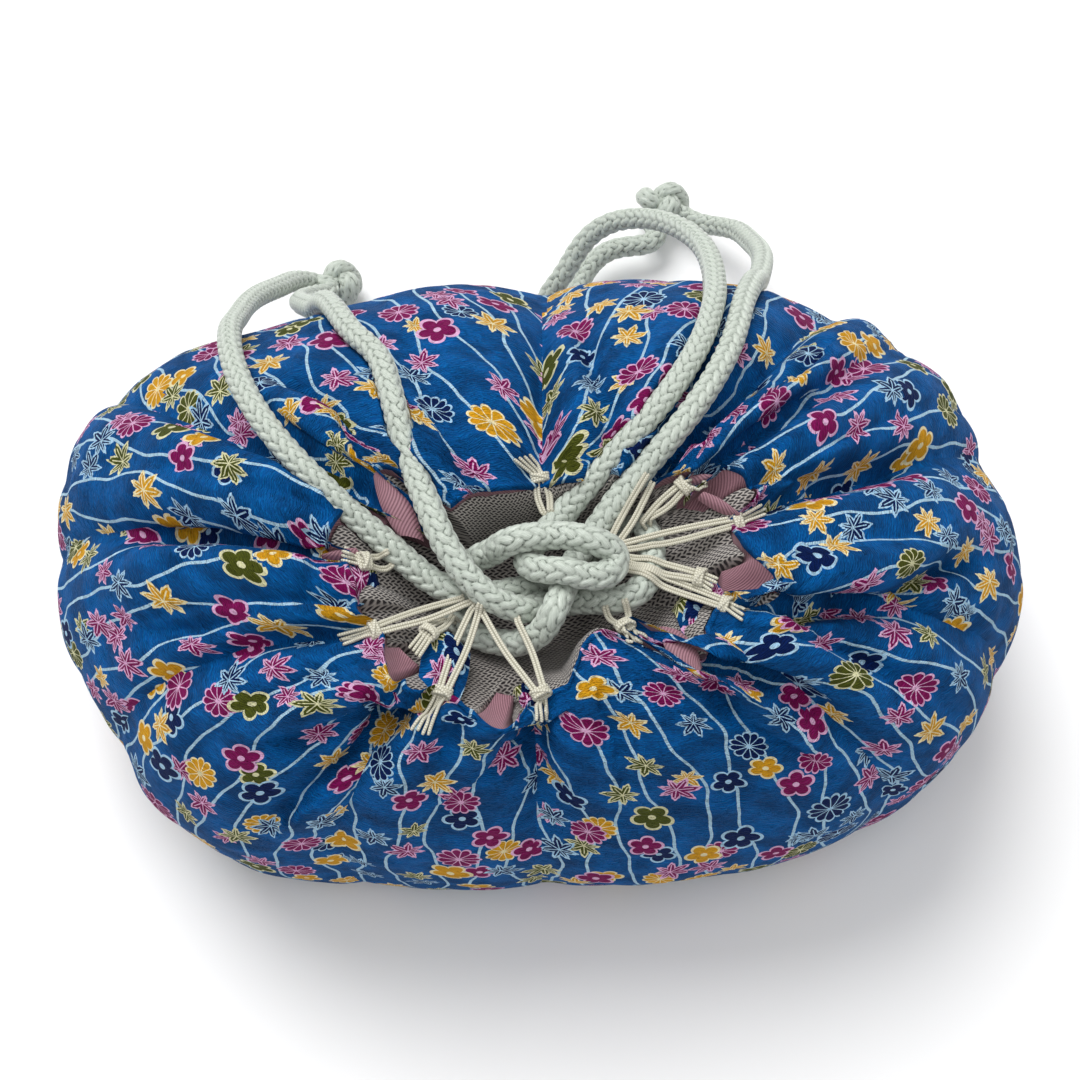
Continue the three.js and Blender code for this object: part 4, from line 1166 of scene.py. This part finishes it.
def crepe():
    nt = NT("crepe_print"); u, v = nt.uv("cloth")
    vec = nt.vec(u, v)
    tone = nt.noise(vec, 0.11, 3.0, 0.55)
    blue = nt.mix(tone.sstep(0.30, 0.72), srgb(0, 66, 120), srgb(0, 98, 170))
    # wandering stems that run up the cloth
    W = 9.2
    k = (u / W).floor()
    def sway(kk):
        a = (kk * 0.6180).fract() * 6.283; b = (kk * 0.3819 + 0.21).fract() * 6.283
        return (v * 0.105 + a).sin() * 1.75 + (v * 0.27 + b).sin() * 0.60 + (v * 0.62 + a * 2.0).sin() * 0.16
    wob = nt.noise(nt.vec(u * 0.6, v * 0.6), 1.0, 2.0)
    d0 = (u - (k + 0.5) * W - sway(k)).abs()
    stem = d0.lt(wob * 0.34 + 0.20)
    base_c = nt.mix(stem * 0.95, blue, srgb(186, 218, 236))
    c = figure_layer(nt, "fig2", "id2", base_c)
    c = figure_layer(nt, "fig1", "id1", c)
    # crimped weft: fine broken ridges across the stems
    drift = nt.noise(nt.vec(u * 0.20, v * 0.20), 1.0, 2.0)
    ridge = 1.0 - (((v + drift * 3.4) / 0.58).fract() - 0.5).abs() * 2.0
    seg = nt.noise(nt.vec(u * 0.50, v * 1.5), 1.0, 3.0, 0.6)
    crimp = ridge * seg.sstep(0.30, 0.62)
    fine = nt.noise(nt.vec(u * 0.42, v * 1.7), 1.0, 4.0, 0.65)
    # painted light and shade of the crinkle: the crimp ridges are lightened and the hollows between them darkened
    c = nt.mix(crimp * 0.34, c, (1, 1, 1), "SOFT_LIGHT")
    c = nt.mix((1.0 - crimp).pow(2.0) * 0.40, c, (0, 0, 0), "SOFT_LIGHT")
    # painted shade: the low spots of the fine crinkle are darkened
    c = nt.mix((1.0 - fine.sstep(0.34, 0.52)) * 0.16, c, (0, 0, 0), "SOFT_LIGHT")
    nt.link(c, nt.bsdf.inputs["Base Color"])
    grainy = nt.noise(nt.vec(u * 5.0, v * 5.0), 1.0, 2.0, 0.6)
    b0 = nt.bump(fine, 0.0006, 1.0)
    b1 = nt.bump(crimp, 0.00040, 1.0, b0)
    b2 = nt.bump(grainy, 0.0002, 0.6, b1)
    nt.link(b2, nt.bsdf.inputs["Normal"])
    nt.bsdf.inputs["Roughness"].default_value = 0.64
    nt.bsdf.inputs["Sheen Weight"].default_value = 0.03
    nt.bsdf.inputs["Sheen Roughness"].default_value = 0.4
    nt.bsdf.inputs["Sheen Tint"].default_value = (0.35, 0.6, 1.0, 1.0)
    nt.bsdf.inputs["Specular IOR Level"].default_value = 0.06
    return nt.mat

def twill(name, c0, c1, pitch=0.62, sheen=0.12):
    nt = NT(name); u, v = nt.uv("cloth")
    d = ((u * 0.78 + v * 0.62) / pitch).fract() - 0.5
    ridge = 1.0 - d.abs() * 2.0
    n = nt.noise(nt.vec(u, v), 2.2, 3.0, 0.6); big = nt.noise(nt.vec(u, v), 0.12, 2.0)
    c = nt.mix((ridge * 0.75 + n * 0.35).min(1.0), c0, c1)
    c = nt.mix(big.sstep(0.3, 0.8) * 0.25, c, (1, 1, 1), "SOFT_LIGHT")
    nt.link(c, nt.bsdf.inputs["Base Color"])
    b = nt.bump(ridge.pow(0.6), 0.00018, 0.8); b2 = nt.bump(n, 0.00012, 0.5, b); nt.link(b2, nt.bsdf.inputs["Normal"])
    nt.bsdf.inputs["Roughness"].default_value = 0.6
    nt.bsdf.inputs["Sheen Weight"].default_value = sheen
    nt.bsdf.inputs["Sheen Roughness"].default_value = 0.4
    return nt.mat

def coarse_weave():
    nt = NT("coarse_weave"); u, v = nt.uv("cloth")
    wob = nt.noise(nt.vec(u, v), 0.35, 2.0)
    # pale yarns over dark gaps that step half a stitch from row to row, so the yarns read as zigzags
    uu = u * 0.97 + v * 0.24 + (wob - 0.5) * 0.8; vv = v * 0.97 - u * 0.24
    row = (vv / 0.78).floor(); yy = (vv / 0.78).fract() - 0.5
    odd = (row / 2.0).fract().gt(0.25)
    lean = yy * (odd * 0.56 - 0.28)
    xx = ((uu / 1.62 + odd * 0.5) + lean).fract() - 0.5
    gapd = ((xx / 0.33).pow(2.0) + ((yy + xx * (odd * 1.1 - 0.55)) / 0.40).pow(2.0))
    yarn = gapd.sstep(0.45, 1.5)
    tie = 0.0
    hgt_ = yarn
    fib = nt.noise(nt.vec(u * 6.0, v * 6.0), 1.0, 2.0, 0.7)
    lt = nt.mix(fib, srgb(132, 127, 122), srgb(188, 181, 175))
    c = nt.mix(hgt_, srgb(34, 28, 30), lt)
    nt.link(c, nt.bsdf.inputs["Base Color"])
    b = nt.bump(hgt_, 0.0005, 1.0); b2 = nt.bump(fib, 0.0001, 0.5, b); nt.link(b2, nt.bsdf.inputs["Normal"])
    nt.bsdf.inputs["Roughness"].default_value = 0.75
    nt.bsdf.inputs["Sheen Weight"].default_value = 0.2
    nt.bsdf.inputs["Sheen Roughness"].default_value = 0.5
    return nt.mat

def cord_mat():
    nt = NT("braided_cord"); fx_, fy_ = nt.uv("fibre"); h_, s_ = nt.uv("height")
    fil = nt.noise(nt.vec(fx_ * 0.7, fy_ * 7.5), 1.0, 2.0, 0.6)
    tone = nt.noise(nt.vec(s_ * 8.0, h_ * 0.3), 1.0, 1.0)
    # painted shade: dark in the grooves between the braid picks, pale on the pick tops
    c = nt.mix(h_.sstep(0.0, 0.55), srgb(80, 91, 82), srgb(185, 194, 183))
    # painted highlight: pale fibre streaks on the tops of the picks, away from the grooves
    c = nt.mix(fil.sstep(0.40, 0.75) * h_.sstep(0.3, 0.8) * 0.75, c, srgb(230, 236, 228))
    # painted shade: darker lines in the low spots between the fibres
    c = nt.mix((1.0 - fil.sstep(0.25, 0.5)) * 0.5, c, srgb(138, 150, 138))
    c = nt.mix(tone * 0.12, c, srgb(190, 200, 180))
    nt.link(c, nt.bsdf.inputs["Base Color"])
    b = nt.bump(fil, 0.0003, 0.8); nt.link(b, nt.bsdf.inputs["Normal"])
    nt.bsdf.inputs["Roughness"].default_value = 0.34
    nt.bsdf.inputs["Sheen Weight"].default_value = 0.3
    nt.bsdf.inputs["Sheen Roughness"].default_value = 0.35
    nt.bsdf.inputs["Specular IOR Level"].default_value = 0.5
    return nt.mat

def thin_mat():
    nt = NT("thin_cord"); s_, a_ = nt.uv("cloth")
    z1 = ((s_ / 0.55 + a_ * 2.0).fract() - 0.5).abs(); z2 = ((s_ / 0.55 - a_ * 2.0).fract() - 0.5).abs()
    br_ = z1.min(z2) * 2.0
    fib = nt.noise(nt.vec(s_ * 6.0, a_ * 20.0), 1.0, 2.0)
    c = nt.mix(br_.sstep(0.0, 0.45), srgb(158, 153, 132), srgb(212, 209, 192))
    c = nt.mix(fib * 0.2, c, srgb(226, 224, 208))
    nt.link(c, nt.bsdf.inputs["Base Color"])
    b = nt.bump(br_, 0.00012, 0.8); b2 = nt.bump(fib, 0.00005, 0.5, b); nt.link(b2, nt.bsdf.inputs["Normal"])
    nt.bsdf.inputs["Roughness"].default_value = 0.5
    nt.bsdf.inputs["Sheen Weight"].default_value = 0.25
    nt.bsdf.inputs["Sheen Roughness"].default_value = 0.4
    return nt.mat

shell.data.materials.append(crepe())
lining.data.materials.append(twill("lining_twill", srgb(96, 60, 70), srgb(160, 116, 127)))
inner.data.materials.append(coarse_weave())
base.data.materials.append(twill("base_cloth", srgb(6, 44, 92), srgb(14, 74, 140), 0.8, 0.2))
cm = cord_mat()
for ob in (cordA, cordB, knotA, knotB): ob.data.materials.append(cm)
tm = thin_mat()
for ob in loop_objs: ob.data.materials.append(tm)

# ------------------------------------------------------------------ floor and light
fl = bpy.data.meshes.new("floor")
fl.from_pydata([(-6, -6, -0.0005), (6, -6, -0.0005), (6, 6, -0.0005), (-6, 6, -0.0005)], [], [(0, 1, 2, 3)])
floor = bpy.data.objects.new("floor", fl); bpy.context.scene.collection.objects.link(floor)
nt = NT("floor_paint")
fn = nt.noise(nt.n("ShaderNodeTexCoord").outputs["Object"], 3.0, 3.0)
nt.link(nt.mix(fn * 0.05, (0.93, 0.93, 0.93), (0.88, 0.88, 0.88)), nt.bsdf.inputs["Base Color"])
nt.bsdf.inputs["Roughness"].default_value = 0.9
fl.materials.append(nt.mat)

def area(name, loc, target, size, power, color=(1, 1, 1)):
    d = bpy.data.lights.new(name, "AREA"); d.shape = "DISK"; d.size = size; d.energy = power; d.color = color
    ob = bpy.data.objects.new(name, d); bpy.context.scene.collection.objects.link(ob)
    ob.location = loc
    ob.rotation_euler = (Vector(target) - Vector(loc)).to_track_quat("-Z", "Y").to_euler()
    return ob
sd_ = bpy.data.lights.new("key", "SUN"); sd_.energy = 2.55; sd_.angle = 0.75
sun = bpy.data.objects.new("key", sd_); bpy.context.scene.collection.objects.link(sun)
sun.rotation_euler = (Vector((0, -0.02, 0.06)) - Vector((-0.30, 0.50, 0.95))).to_track_quat("-Z", "Y").to_euler()
area("top", (0.1, -0.35, 1.2), (0, 0, 0.05), 0.8, 3.0)
wd = bpy.data.worlds.new("world"); bpy.context.scene.world = wd; wd.use_nodes = True
bg = next(n for n in wd.node_tree.nodes if n.type == "BACKGROUND")
bg.inputs[0].default_value = (1, 1, 1, 1); bg.inputs[1].default_value = 0.52
bpy.context.scene.view_settings.view_transform = "Standard"

# ------------------------------------------------------------------ what rides on what
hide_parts("outer_shell"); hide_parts("lining_pink"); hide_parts("inner_cloth"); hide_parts("base_panel")
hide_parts("drawstring_left"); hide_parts("drawstring_right"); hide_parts("end_knot_left"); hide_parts("end_knot_right")
cad_loops = sorted(k for k in frame["nodes"] if k.startswith("loop_"))
CADLOOP = ['loop_01', None, 'loop_02', 'loop_03', 'loop_04', 'loop_05', 'loop_06', 'loop_07', 'loop_08', 'loop_09', 'loop_10', 'loop_11']
for k, ob in enumerate(loop_objs):
    if CADLOOP[k]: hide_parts(CADLOOP[k])
for ob in (shell, lining, inner, base, cordA, cordB, knotA, knotB, *loop_objs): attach(ob, "root")

def mesh_area(ob):
    me = ob.data; a = np.empty(len(me.polygons)); me.polygons.foreach_get("area", a); return float(a.sum())
print("AREAS", {o.name: round(mesh_area(o), 4) for o in (shell, lining, inner)}, "CORDS", length_of(PA), length_of(PB), "girth", GL, "height of cloth", mer.max())

tris = {o.name: sum(len(p.vertices) - 2 for p in o.data.polygons) for o in bpy.data.objects if o.type == "MESH" and "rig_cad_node" not in o}
print("TRIS", sum(tris.values()), max(tris.values()))
